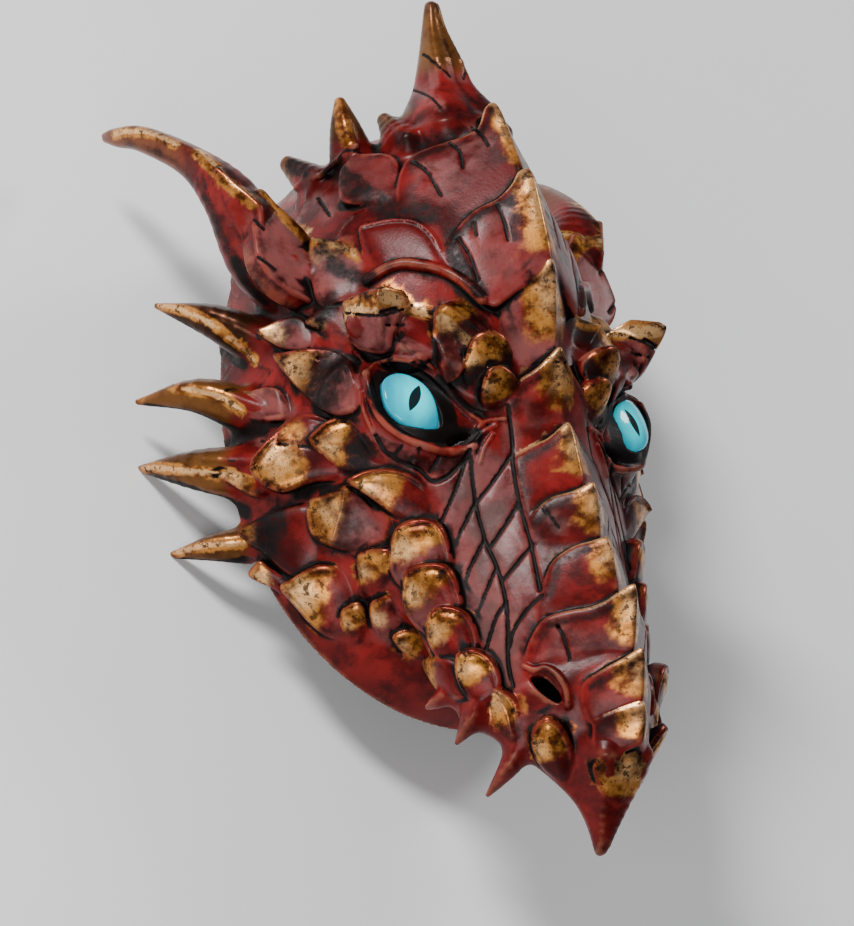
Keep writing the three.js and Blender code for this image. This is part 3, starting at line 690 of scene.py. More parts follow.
def outline_distance(points, outline):
    away, share = line_distance(points, np.vstack((outline, outline[:1])))
    return np.where(inside_outline(points, outline), -away, away), share


STEEPEST = 0.9       # a scale slants away from the viewer no more than this
MOST_TURNED = 0.8    # and turns away no more than this about its length, in radians
UNDERCUT = 0.4       # a scale narrows by this share of the depth, below this depth
UNDERCUT_FROM = 4.0
CREST_DEPTH = 14.0
CORNER_LIFT = 0.6    # of a crest plate's corner, off the skin
RIDGE_GOLD = 40.0    # how far gold of 1 reaches from the ridge of the crest


def bell(value, middle, width):
    return np.exp(-((value - middle) / width) ** 2)


class Plate:
    """A scale: a small map on a slanting plane, with its height and its paint."""

    MAP_STEP = 0.5
    MAP_MARGIN = 4.0

    def __init__(self, clay, outline, root, lift=0.0, root_lift=-1.0, corner=None, deep=None,
                 pillow=1.5, rim=0.0, rim_end=0.5, keel=None, keel_height=0.0, gold=0.0,
                 cream_and_highlight=0.0, black_and_shade=0.0, pale=0.0, around=1.0):
        self.lift = lift
        self.pillow = pillow
        self.deep = CREST_DEPTH if corner else deep
        self.around = around
        if corner:
            tip = self.place_on_ridge(clay, outline[0], root, corner)
        else:
            tip = self.place_on_skin(clay, outline[0], root, root_lift)
        self.length = np.linalg.norm(tip - self.root)
        self.across = np.cross(self.along, self.out)
        self.places = on_plane(outline, self.root, self.out)

        edge = smooth_line(self.flat(self.places), closed=True)
        self.map_corner = edge.min(0) - self.MAP_MARGIN
        size = np.ceil((edge.max(0) + self.MAP_MARGIN - self.map_corner) / self.MAP_STEP)
        grid = np.stack(np.meshgrid(*[np.arange(n) for n in size], indexing="ij"), axis=-1)
        spots = self.map_corner + grid * self.MAP_STEP
        self.inside, share = outline_distance(spots, edge)
        depth = np.maximum(-self.inside, 0)
        rolled = smooth_step(rim_end + 0.06, rim_end - 0.06, share) * (rim > 0)
        self.top = pillow * (1 - np.exp(-depth / 3.5))
        self.top += rolled * (rim * bell(depth, 1.1, 0.9) - 0.5 * bell(depth, 3.0, 0.9))
        if keel:
            line = smooth_line(self.flat(on_plane(keel, self.root, self.out)))
            away = line_distance(spots, line)[0]
            self.top += keel_height * np.exp(-away / 3.0) * smooth_step(0, 3, depth)

        from_tip = 1 - spots[..., 0] / self.length
        aside = np.abs(spots[..., 1])
        free_edge = smooth_step(1.6, 0.6, depth)
        if corner:
            near_corner = smooth_step(0.6, 0.95, share)
            # Cream paint and painted highlight along the ridge and on the free edge near the
            # corner
            golden, creamy_highlight = self.ridge_paint(from_tip, aside, gold)
            creamy_highlight = np.maximum(0.6 * creamy_highlight, 0.8 * near_corner * free_edge)
            free_edge = free_edge * (1 - near_corner)
            # Black wash and painted shade a little inside the edge of the plate
            black_wash_and_shade = 0.5 * bell(depth, 4, 2.5) * smooth_step(0.5, 0.7, share)
        else:
            golden, creamy_highlight = self.tip_paint(from_tip, aside, gold, cream_and_highlight)
            # Black wash and painted shade a little inside the edge of the scale
            black_wash_and_shade = 0.4 * bell(depth, 2.6, 0.9)
        beside_gold = 0.7 * black_and_shade * bell(from_tip, gold + 0.2, 0.3)
        self.paint = {
            "gold": golden,
            "cream_and_highlight": creamy_highlight,
            "black_and_shade": np.maximum(black_wash_and_shade, beside_gold),
            "pale": pale * (1 - golden),
            "rim": np.maximum(rolled * smooth_step(2.6, 1.6, depth), 0.8 * free_edge),
        }

    def ridge_paint(self, from_tip, aside, gold):
        """Gold along the ridge of a crest plate, and a narrower band of cream paint and painted
        highlight.
        """
        reach = RIDGE_GOLD * gold
        golden = smooth_step(reach + 3, reach - 5, aside) * smooth_step(1.2, 0.8, from_tip)
        creamy_highlight = smooth_step(0.9 * reach, 0.2 * reach, aside) * smooth_step(1, 0.5, from_tip)
        return golden, creamy_highlight

    def tip_paint(self, from_tip, aside, gold, cream_and_highlight):
        """Gold on the tip of a scale, and a spot of cream paint and painted highlight."""
        golden = smooth_step(gold + 0.2, gold - 0.15, from_tip) * (gold > 0)
        spot = bell(from_tip, 0.32, 0.22) * bell(aside, 0, 0.24 * self.length)
        return golden, max(cream_and_highlight, 0.6 * (gold > 0.2)) * spot

    def place_on_ridge(self, clay, tip, root, corner):
        """Lay out a plate of the crest. Gives the place of its tip."""
        tip = at_side(tip, 0)
        self.root = at_side(root, 0)
        self.along = unit(tip - self.root)
        side = clay.meet([corner], CORNER_LIFT)[0]
        out = unit(np.cross(self.along, side - self.root))
        self.out = out * np.sign(out @ TO_VIEWER)
        return tip

    def place_on_skin(self, clay, tip, root, root_lift):
        """Lay out any other scale. Gives the place of its tip."""
        tip = clay.meet([tip])[0] + self.lift * TO_VIEWER
        root = clay.meet([root], root_lift)[0]
        depth = (tip - root) @ TO_VIEWER
        seen = np.linalg.norm(tip - root - depth * TO_VIEWER)
        self.root = root + TO_VIEWER * max(depth - STEEPEST * seen, 0)
        self.along = unit(tip - self.root)
        normal = clay.outward(np.array([(tip + self.root) / 2]))[0]
        facing = unit(TO_VIEWER - (TO_VIEWER @ self.along) * self.along)
        side = np.cross(self.along, facing)
        turn = np.arctan2(normal @ side, normal @ facing)
        turn = np.clip(turn, -MOST_TURNED, MOST_TURNED)
        self.out = facing * np.cos(turn) + side * np.sin(turn)
        return tip

    def flat(self, places):
        away = places - self.root
        return np.stack((away @ self.along, away @ self.across), axis=-1)

    def look_up(self, grid, spots):
        return between(grid, (spots - self.map_corner) / self.MAP_STEP)

    def distance(self, points, base):
        """Distance to the scale. base is the distance to the bare skin: but for its tip
        the scale keeps close to it, unless it is a deep one."""
        spots = self.flat(points)
        above = (points - self.root) @ self.out
        inside = self.look_up(self.inside, spots)
        top = above - self.look_up(self.top, spots)
        if self.deep:
            return np.maximum(cut(inside, top, 1.2), -self.deep - above)
        from_tip = np.clip(1 - spots[..., 0] / self.length, 0, 1)
        thickness = 2.5 + from_tip * (self.lift + 6)
        inside = inside + UNDERCUT * np.maximum(-above - UNDERCUT_FROM, 0)
        shape = np.maximum(cut(inside, top, 1.2), -thickness - above)
        reach = self.pillow + 2 + 1.3 * self.lift * (1 - from_tip) ** 2
        return cut(shape, base - reach, 1.5)

    def press_into(self, clay):
        span, points = clay.room(self.places, 16)
        shape = self.distance(points, clay.base[span])
        clay.value[span] = join(clay.value[span], shape, 0.8)


def spike_line(places):
    return smooth_line([at_side(place[:2], place[2]) for place in places], steps=5)


def spike_distance(points, places):
    """Distance to a round taper with a ridge on the side that faces the viewer."""
    line = spike_line(places)
    radii = smooth_line([(place[3], 0) for place in places], steps=5)[:, 0]
    best = np.full(points.shape[:-1], 1e9)
    for i in range(len(line) - 1):
        axis = line[i + 1] - line[i]
        ridge = unit(np.cross(np.cross(axis, TO_VIEWER + 0.4 * VIEW_UP), axis))
        along = np.clip(((points - line[i]) @ axis) / (axis @ axis), 0, 1)
        away = points - line[i] - along[..., None] * axis
        length = np.linalg.norm(away, axis=-1)
        facing = np.clip((away @ ridge) / np.maximum(length, 1e-6), 0, 1)
        radius = radii[i] + (radii[i + 1] - radii[i]) * along
        best = np.minimum(best, length - radius * (0.88 + 0.26 * facing ** 8))
    return best


def add_spikes(clay):
    for places in SPIKES.values():
        middle = np.array([at_side(place[:2], place[2]) for place in places])
        span, points = clay.room(middle, max(place[3] for place in places) + 6)
        clay.value[span] = join(clay.value[span], spike_distance(points, places), 5)


def add_lines(clay, lines, change):
    """Change the clay along lines, each a radius and its places."""
    for radius, places in lines:
        span, points = clay.room(places, radius + 4)
        away = line_distance(points, smooth_line(places))[0] - radius
        clay.value[span] = change(clay.value[span], away)


def prism(points, outline, origin, plane, facing):
    """Distance to a through hole. Its outline lies on a plane, given by its normal, and it
    runs in the way it faces."""
    across = unit(np.cross(facing, VIEW_UP))
    up = np.cross(across, facing)
    axes = np.stack((across, up), axis=-1)
    edge = smooth_line((on_plane(outline, origin, plane) - origin) @ axes, closed=True)
    away = outline_distance((points - origin) @ axes, edge)[0]
    return np.maximum(away, np.abs((points - origin) @ facing) - HOLE_REACH)


def open_holes(clay):
    middles = clay.meet([np.mean(outline, axis=0) for outline in (PEEPHOLE, NOSTRIL)])
    slit, nostril = clay.outward(middles)
    holes = [(LENS_OUTLINE, LENS_MIDDLE, EYE_FACING, EYE_FACING),
             (PEEPHOLE, middles[0], slit, PEEPHOLE_FACING),
             (NOSTRIL, middles[1], nostril, nostril)]
    for outline, middle, plane, facing in holes:
        span, points = clay.room([middle], 24)
        shape = prism(points, outline, middle, plane, facing)
        clay.value[span] = cut(clay.value[span], -shape, 0.8)


CORNERS = np.array(list(np.ndindex(2, 2, 2)))
EDGES = [(a, b) for a in range(8) for b in range(a + 1, 8)
         if np.abs(CORNERS[a] - CORNERS[b]).sum() == 1]


def net(clay):
    """The skin as four-sided faces: one point in each grid cell that it passes through.
    The right half is made and mirrored."""
    value = np.concatenate((clay.value, clay.value[-1:]))
    solid = value < 0
    n = np.array(value.shape) - 1
    count = np.zeros(n, np.uint8)
    for i, j, k in CORNERS:
        count += solid[i:i + n[0], j:j + n[1], k:k + n[2]]
    cells = np.argwhere((count > 0) & (count < 8))
    heights = np.stack([value[tuple((cells + corner).T)] for corner in CORNERS], axis=1)
    total = np.zeros((len(cells), 3))
    crossed = np.zeros(len(cells))
    for a, b in EDGES:
        crosses = (heights[:, a] < 0) != (heights[:, b] < 0)
        gap = heights[:, a] - heights[:, b]
        share = np.where(crosses, heights[:, a] / np.where(crosses, gap, 1), 0)
        spot = CORNERS[a] + share[:, None] * (CORNERS[b] - CORNERS[a])
        total += np.where(crosses[:, None], spot, 0)
        crossed += crosses
    places = clay.first + (cells + total / crossed[:, None]) * STEP
    number = np.full(n, -1, np.int32)
    number[tuple(cells.T)] = np.arange(len(cells))

    faces = []
    for axis in range(3):
        span = [slice(1, None)] * 3
        span[axis] = slice(None)
        low = [slice(1, -1)] * 3
        low[axis] = slice(0, -1)
        high = [slice(1, -1)] * 3
        high[axis] = slice(1, None)
        starts = np.argwhere(solid[tuple(low)] != solid[tuple(high)])
        starts += [0 if i == axis else 1 for i in range(3)]
        u, v = np.eye(3, dtype=int)[[(axis + 1) % 3, (axis + 2) % 3]]
        around = [starts - u - v, starts - v, starts, starts - u]
        quad = np.stack([number[tuple(cell.T)] for cell in around], axis=1)
        outward = solid[tuple(starts.T)]
        faces.append(np.where(outward[:, None], quad, quad[:, ::-1]))
    faces = np.concatenate(faces)

    middle = cells[:, 0] == n[0] - 1
    places[middle, 0] = 0
    twin = np.where(middle, np.arange(len(cells)), np.arange(len(cells)) + len(cells))
    places = np.concatenate((places, places * (-1, 1, 1)))
    return places, np.concatenate((faces, twin[faces][:, ::-1]))


def mesh_from(name, places, faces):
    """A mesh in metres from places in millimetres and equal-sided faces."""
    used = np.unique(faces)
    number = np.zeros(len(places), np.int32)
    number[used] = np.arange(len(used))
    sides = faces.shape[1]
    mesh = bpy.data.meshes.new(name)
    mesh.vertices.add(len(used))
    mesh.vertices.foreach_set("co", in_metres(places[used]).astype(np.float32).ravel())
    mesh.loops.add(faces.size)
    mesh.loops.foreach_set("vertex_index", number[faces].astype(np.int32).ravel())
    mesh.polygons.add(len(faces))
    mesh.polygons.foreach_set("loop_start", np.arange(0, faces.size, sides, dtype=np.int32))
    mesh.update(calc_edges=True)
    piece = bpy.data.objects.new(name, mesh)
    bpy.context.scene.collection.objects.link(piece)
    return piece


def in_metres(places):
    return (np.asarray(places) - (0, MIDDLE_Y, 0)) / 1000


def in_drawing(mesh):
    """A mesh's points, back in the drawing's millimetres."""
    places = np.zeros(len(mesh.vertices) * 3, np.float32)
    mesh.vertices.foreach_get("co", places)
    return places.reshape(-1, 3).astype(float) * 1000 + (0, MIDDLE_Y, 0)


def active(piece):
    bpy.ops.object.select_all(action="DESELECT")
    piece.select_set(True)
    bpy.context.view_layer.objects.active = piece


def thin_out(piece):
    """Fewer triangles where the skin is smooth, and only the one connected skin."""
    active(piece)
    piece.data.calc_loop_triangles()
    fewer = piece.modifiers.new("fewer", "DECIMATE")
    fewer.ratio = min(1, TRIANGLES / len(piece.data.loop_triangles))
    bpy.ops.object.modifier_apply(modifier="fewer")
    bpy.ops.object.mode_set(mode="EDIT")
    bpy.ops.mesh.separate(type="LOOSE")
    bpy.ops.object.mode_set(mode="OBJECT")
    parts = sorted(bpy.context.selected_objects, key=lambda o: len(o.data.vertices))
    for scrap in parts[:-1]:
        bpy.data.objects.remove(scrap)
    parts[-1].name = parts[-1].data.name = "mask_skin"
    return parts[-1]


def box_blur(grid, radius):
    """Mean over a cube of samples this far each way. Past the middle plane the samples are
    mirrored, and past the other sides they count as empty."""
    size = 2 * radius + 1
    for axis in range(3):
        grid = np.moveaxis(grid, axis, 0)
        blank = np.zeros_like(grid[:radius + 1])
        after = grid[::-1][:radius] if axis == 0 else blank[:radius]
        total = np.cumsum(np.concatenate((blank, grid, after)), axis=0, dtype=np.float32)
        grid = np.moveaxis((total[size:] - total[:-size]) / size, 0, axis)
    return grid


TONES = ("gold", "cream_and_highlight", "black_and_shade", "pale", "rim", "crease", "edge", "inside", "bronze",
         "copper", "line", "beside", "around")
NEAR_ROOM = 2.4      # the room in which creases and edges are looked for
WIDE_ROOM = 6.0      # and the one for wide hollows


def write_tone(piece, name, shares):
    layer = piece.data.attributes.new(name, "FLOAT", "POINT")
    layer.data.foreach_set("value", shares.astype(np.float32))


class Tones:
    """Shares of each tone at each point of the skin, all worked out on the right side."""

    def __init__(self, clay, piece):
        self.clay = clay
        self.places = in_drawing(piece.data)
        self.sides = np.where(self.places[:, 0] > 0, -1, 1)
        self.places[:, 0] = -np.abs(self.places[:, 0])
        self.out = clay.outward(self.places)
        self.base = clay.sample(clay.base, self.places)
        self.inner = self.base < -WALL + 0.6
        self.shares = {name: np.zeros(len(self.places)) for name in TONES}
        self.shares["inside"] = self.inner.astype(float)

    def near(self, others, reach):
        """Numbers of the points in the box around some places."""
        low, high = others.min(0) - reach, others.max(0) + reach
        return np.flatnonzero(((self.places > low) & (self.places < high)).all(1))

    def add(self, tone, near, share):
        self.shares[tone][near] = np.maximum(self.shares[tone][near], share)

    def on_plates(self, plates):
        """A plate's own paint, where it is the nearest one that faces the same way."""
        nearest = np.full(len(self.places), 1.2)
        for plate in plates:
            near = self.near(plate.places, 8)
            away = np.abs(plate.distance(self.places[near], self.base[near]))
            wins = (away < nearest[near]) & (self.out[near] @ plate.out > 0.1)
            near = near[wins]
            nearest[near] = away[wins]
            spots = plate.flat(self.places[near])
            for name, grid in plate.paint.items():
                self.shares[name][near] = plate.look_up(grid, spots)

    def around_plates(self, plates):
        """Black wash and painted shade: a dark line on what lies under the edge of a plate."""
        for plate in plates:
            near = self.near(plate.places, 6)
            spots = plate.flat(self.places[near])
            above = (self.places[near] - plate.root) @ plate.out
            away = plate.look_up(plate.inside, spots)
            below = smooth_step(0.4, -0.6, above - plate.look_up(plate.top, spots) + 0.8)
            around = smooth_step(-0.4, 0.1, away) * smooth_step(1.9, 0.3, away)
            facing = smooth_step(0, 0.3, self.out[near] @ TO_VIEWER)
            share = around * below * facing * (above > -9) * plate.around
            self.add("around", near, share)

    def in_creases(self):
        """Creases and edges, by how full of skin the room around a point is."""
        solid = (self.clay.value < 0).astype(np.float32)
        near_fill = box_blur(solid, round(NEAR_ROOM / STEP))
        wide_fill = box_blur(solid, round(WIDE_ROOM / STEP))
        fine = self.clay.sample(near_fill, self.places + self.out * 0.4)
        wide = self.clay.sample(wide_fill, self.places + self.out * 2.0)
        # Black wash and painted shade in the creases, where the room is fuller of skin
        self.shares["crease"] = (smooth_step(0.44, 0.68, fine)
                                 + 0.8 * smooth_step(0.42, 0.7, wide))
        # Dry-brushed paint and painted highlight on the edges, where the room is emptier
        self.shares["edge"] = smooth_step(0.4, 0.22, fine)

    def along_line(self, tone, line, reach, full, strength=1.0, bare=-1.0):
        """Paint along a line: none from reach on, all within full. bare is the share of
        the line's length that stays without it."""
        near = self.near(line, reach)
        away, along = line_distance(self.places[near], line)
        share = smooth_step(reach, full, away) * smooth_step(bare, bare + 0.3, along)
        self.add(tone, near, share * strength * ~self.inner[near])

    def by_hand(self):
        """Brush strokes, cut lines and the spikes' own paint."""
        # Gold and cream lines along the ridges: gold dry-brush and painted highlight
        ridge_highlights = [("gold", 9, 1.0, pixels) for pixels in RIDGE_HIGHLIGHTS]
        ridge_highlights += [("cream_and_highlight", 4, 0.9, pixels) for pixels in RIDGE_HIGHLIGHTS]
        for tone, radius, strength, pixels in STROKES + ridge_highlights:
            reach = radius / PIXELS_PER_MM
            line = smooth_line(self.clay.meet(pixels))
            self.along_line(tone, line, reach, 0.4 * reach, strength)
        for radius, pixels in CUTS:
            line = smooth_line(self.clay.meet(pixels))
            self.along_line("line", line, radius + 0.6, radius * 0.5)
            self.along_line("beside", line, radius + 4.0, radius + 1.0)
        for name, (tone, bare) in SPIKE_TONES.items():
            reach = max(place[3] for place in SPIKES[name]) + 2
            self.along_line(tone, spike_line(SPIKES[name]), reach, reach - 3, bare=bare)


def paint(clay, plates, piece):
    """Keep the tones as attributes of the skin's mesh, with the clay's own normals."""
    tones = Tones(clay, piece)
    tones.on_plates(plates)
    tones.around_plates(plates)
    tones.in_creases()
    tones.by_hand()
    for name, share in tones.shares.items():
        write_tone(piece, name, np.clip(share, 0, 1.5))
    tones.out[:, 0] *= tones.sides
    piece.data.shade_smooth()
    piece.data.normals_split_custom_set_from_vertices(tones.out)


def sculpt():
    clay = Clay()
    add_spikes(clay)
    tables = CHEEK + LIP + BROW + FOREHEAD + HORN_PLATES + CREST
    plates = [Plate(clay, **table) for table in tables]
    for plate in plates:
        plate.press_into(clay)
    rolls = [(radius, clay.meet(pixels, lift)) for radius, lift, pixels in ROLLS]
    add_lines(clay, rolls, lambda skin, roll: join(skin, roll, 1.0))
    cuts = [(radius, clay.meet(pixels)) for radius, pixels in CUTS]
    add_lines(clay, cuts, lambda skin, groove: cut(skin, -groove, 0.6))
    clay.value = np.maximum(clay.value, -clay.base - WALL)
    open_holes(clay)
    height_over_floor = clay.axes[2]
    clay.value = np.maximum(clay.value, -height_over_floor)
    piece = thin_out(mesh_from("mask_skin", *net(clay)))
    paint(clay, plates, piece)
    return piece


class Paint:
    """A material built node by node."""

    def __init__(self, name):
        self.material = bpy.data.materials.new(name)
        self.material.use_nodes = True
        self.tree = self.material.node_tree
        self.shader = self.tree.nodes["Principled BSDF"]
        self.place = self.tree.nodes.new("ShaderNodeTexCoord").outputs["Object"]

    def link(self, value, socket):
        if isinstance(value, bpy.types.NodeSocket):
            self.tree.links.new(value, socket)
        else:
            socket.default_value = value

    def value(self, name):
        node = self.tree.nodes.new("ShaderNodeAttribute")
        node.attribute_name = name
        return node.outputs["Fac"]

    def math(self, operation, a, b=0.0):
        node = self.tree.nodes.new("ShaderNodeMath")
        node.operation = operation
        self.link(a, node.inputs[0])
        self.link(b, node.inputs[1])
        return node.outputs[0]

    def noise(self, size, detail=2.0, roughness=0.5, stretch=(1, 1, 1)):
        """Noise with blotches about this many millimetres across."""
        mapping = self.tree.nodes.new("ShaderNodeMapping")
        mapping.inputs["Scale"].default_value = stretch
        self.link(self.place, mapping.inputs["Vector"])
        node = self.tree.nodes.new("ShaderNodeTexNoise")
        node.inputs["Scale"].default_value = 600 / size
        node.inputs["Detail"].default_value = detail
        node.inputs["Roughness"].default_value = roughness
        self.link(mapping.outputs[0], node.inputs["Vector"])
        return node.outputs["Fac"]

    def hollows(self, size):
        """How closed in each place is, by what stands within this many millimetres."""
        node = self.tree.nodes.new("ShaderNodeAmbientOcclusion")
        node.samples = 6
        node.only_local = True
        node.inputs["Distance"].default_value = size / 1000
        return self.math("SUBTRACT", 1.0, node.outputs["AO"])

    def band(self, value, low, high):
        """0 below low to 1 above high, smoothly."""
        node = self.tree.nodes.new("ShaderNodeMapRange")
        node.interpolation_type = "SMOOTHSTEP"
        self.link(value, node.inputs["Value"])
        node.inputs["From Min"].default_value = low
        node.inputs["From Max"].default_value = high
        return node.outputs[0]

    def broken(self, share, noise, spread, softness=0.1):
        """A tone's share, broken up by noise: 0 and 1 stay whole."""
        moved = self.math("MULTIPLY", self.math("SUBTRACT", noise, 0.5), spread)
        return self.band(self.math("ADD", share, moved), 0.5 - softness, 0.5 + softness)

    def stippled(self, share, noise, spread, softness=0.2):
        """A tone's share, broken up by noise where there is any: 0 stays bare."""
        moved = self.math("MULTIPLY", self.math("SUBTRACT", noise, 0.5), spread)
        uneven = self.math("MULTIPLY", share, self.math("ADD", moved, 1.0))
        return self.band(uneven, 0.5 - softness, 0.5 + softness)

    def mix(self, share, a, b):
        node = self.tree.nodes.new("ShaderNodeMix")
        node.data_type = "RGBA"
        self.link(share, node.inputs[0])
        self.link(a, node.inputs[6])
        self.link(b, node.inputs[7])
        return node.outputs[2]

    def blend(self, share, a, b):
        """The same for plain numbers."""
        node = self.tree.nodes.new("ShaderNodeMix")
        self.link(share, node.inputs[0])
        self.link(a, node.inputs[2])
        self.link(b, node.inputs[3])
        return node.outputs[0]

    def bump(self, height, depth):
        """Relief this many millimetres deep."""
        node = self.tree.nodes.new("ShaderNodeBump")
        node.inputs["Distance"].default_value = depth / 1000
        self.link(height, node.inputs["Height"])
        self.link(node.outputs[0], self.shader.inputs["Normal"])

    def set(self, **sockets):
        for name, value in sockets.items():
            self.link(value, self.shader.inputs[name.replace("_", " ")])
        return self.material


RED = (0.095, 0.005, 0.005, 1)
BRIGHT_RED = (0.200, 0.010, 0.009, 1)
DEEP_RED = (0.022, 0.0015, 0.0015, 1)
PALE = (0.200, 0.062, 0.058, 1)
GREY = (0.100, 0.052, 0.048, 1)
# Black for the wash, the cut lines and the specks, and for painted shade
BLACK_AND_SHADE = (0.0030, 0.0018, 0.0016, 1)
GOLD = (0.50, 0.20, 0.040, 1)
DARK_GOLD = (0.15, 0.042, 0.007, 1)
# Cream paint, also used for painted highlights
CREAM_AND_HIGHLIGHT = (0.92, 0.52, 0.23, 1)
# Dry-brushed pink and painted highlight on raised edges
EDGE_PAINT_AND_HIGHLIGHT = (0.42, 0.16, 0.09, 1)
RIM_RED = (0.17, 0.014, 0.012, 1)
BRONZE = (0.16, 0.062, 0.015, 1)
DARK_BRONZE = (0.030, 0.010, 0.004, 1)
COPPER = (0.16, 0.046, 0.018, 1)
# Near black on the inner wall: painted shade, so the openings look dark
INSIDE = (0.020, 0.005, 0.005, 1)


LENS_DEEP = (0.0, 0.20, 0.28, 1)
# Milky cyan, the brightest part of the painted glow
LENS_MILKY_GLOW = (0.0, 0.60, 0.68, 1)
LENS_SLIT = (0.004, 0.01, 0.012, 1)
FLOOR_GREY = (0.86, 0.86, 0.86, 1)
FLOOR_PALE = (0.90, 0.90, 0.90, 1)
DAYLIGHT = (0.9, 0.93, 1, 1)


def painted_latex():
    """Red latex with gold on the scale tips, pink and grey rubbed between them, and black wash
    in the creases that is partly painted shade; cream paint and raised edges carry painted
    highlights."""
    p = Paint("painted_latex")
    blotches = p.noise(22, 3)
    mottle = p.noise(5, 4, 0.6)
    specks = p.noise(2.2, 4, 0.75)
    grain = p.noise(0.7, 2)
    colour = p.mix(p.band(blotches, 0.38, 0.62), RED, BRIGHT_RED)
    shade = p.band(p.noise(12, 5, 0.65), 0.44, 0.64)
    colour = p.mix(p.math("MULTIPLY", shade, 0.8), colour, DEEP_RED)
    rubbed = p.mix(p.band(p.noise(9, 3), 0.45, 0.65), PALE, GREY)
    pale = p.broken(p.value("pale"), mottle, 0.9, 0.45)
    beside = p.math("MULTIPLY", p.value("beside"), p.band(mottle, 0.3, 0.6))
    pale = p.math("MAXIMUM", pale, p.math("MULTIPLY", beside, 0.8))
    colour = p.mix(p.math("MULTIPLY", pale, 0.75), colour, rubbed)
    bronzed = p.mix(p.band(blotches, 0.36, 0.60), DARK_BRONZE, BRONZE)
    bronze = p.broken(p.value("bronze"), mottle, 0.6, 0.4)
    copper = p.broken(p.value("copper"), mottle, 0.6, 0.4)
    metals = p.math("MAXIMUM", bronze, copper)
    colour = p.mix(copper, p.mix(bronze, colour, bronzed), COPPER)
    gold = p.broken(p.value("gold"), mottle, 0.9, 0.3)
    golden = p.mix(p.band(mottle, 0.38, 0.60), DARK_GOLD, GOLD)
    colour = p.mix(gold, colour, golden)
    # Cream paint and painted highlights, stippled
    cream_and_highlight = p.stippled(p.value("cream_and_highlight"), specks, 3.0, 0.35)
    colour = p.mix(p.math("MULTIPLY", cream_and_highlight, 0.8), colour, CREAM_AND_HIGHLIGHT)
    # Raised edges lighter: dry-brushed paint and painted highlight
    brushed_and_highlit = p.stippled(p.value("edge"), mottle, 3.0, 0.4)
    colour = p.mix(p.math("MULTIPLY", brushed_and_highlit, 0.25), colour, EDGE_PAINT_AND_HIGHLIGHT)
    colour = p.mix(p.math("MULTIPLY", p.value("rim"), 0.85), colour, RIM_RED)
    # Black wash and painted shade: darker in the creases, under the edges of scales and where an
    # occlusion node finds the skin closed in
    wash_and_shade = p.math("MAXIMUM", p.value("black_and_shade"), p.value("crease"))
    wash_and_shade = p.math("MAXIMUM", wash_and_shade, p.value("around"))
    wash_and_shade = p.math("ADD", wash_and_shade, p.band(p.hollows(4), 0.15, 0.6))
    uneven = p.math("MULTIPLY", p.math("SUBTRACT", 0.62, mottle), 1.6)
    # Painted shade: a dark red spread around the black, broken by mottle
    colour = p.mix(p.band(p.math("ADD", wash_and_shade, uneven), 0.15, 0.95), colour, DEEP_RED)
    speckled = p.stippled(wash_and_shade, specks, 3.0, 0.3)
    bright = p.math("MAXIMUM", p.value("gold"), p.value("cream_and_highlight"))
    dots = p.math("MULTIPLY", p.band(specks, 0.53, 0.62), bright)
    black_and_shade = p.math("MAXIMUM", speckled, p.math("MULTIPLY", dots, 0.9))
    black_and_shade = p.math("MAXIMUM", black_and_shade, p.band(p.value("line"), 0.2, 0.7))
    colour = p.mix(p.math("MULTIPLY", black_and_shade, 0.97), colour, BLACK_AND_SHADE)
    # Painted shade: the inner wall near black, so the openings look dark
    colour = p.mix(p.value("inside"), colour, INSIDE)
    p.bump(p.math("ADD", p.math("MULTIPLY", specks, 0.7), p.math("MULTIPLY", grain, 0.3)),
           0.1)
    metals = p.math("MAXIMUM", gold, p.math("MAXIMUM", cream_and_highlight, metals))
    return p.set(
        Base_Color=colour,
        Metallic=p.math("MULTIPLY", metals, 0.6),
        Roughness=p.blend(black_and_shade, p.blend(specks, 0.20, 0.40), 0.5),
        Specular_IOR_Level=0.12)


def lens_plastic():
    """Clear cyan that glows by its own emission, though no lamp is in it: a painted glow,
    brightest in its milky middle, with a black slit.
    """
    p = Paint("lens_plastic")
    clouds = p.noise(5, 3, 0.5, (1, 0.4, 1))
    milky_glow_share = p.band(p.math("ADD", p.value("milky_glow"), p.math("MULTIPLY", clouds, 0.6)), 0.5, 1.2)
    colour = p.mix(milky_glow_share, LENS_DEEP, LENS_MILKY_GLOW)
    across = p.math("ABSOLUTE", p.value("across"))
    along = p.math("POWER", p.math("ABSOLUTE", p.value("along")), 2)
    slit = p.band(p.math("ADD", across, along), 1.08, 0.95)
    colour = p.mix(slit, colour, LENS_SLIT)
    return p.set(
        Base_Color=colour,
        # Painted glow: the lens shines with its own colour
        Emission_Color=colour,
        Emission_Strength=0.9,
        Specular_IOR_Level=0.3,
        Roughness=0.12,
        Coat_Weight=0.2,
        Coat_Roughness=0.04)


def strip(a, b, ahead):
    """Two triangles between neighbours a and b and the points this many numbers on."""
    return [(a, a + ahead, b), (b, a + ahead, b + ahead)]


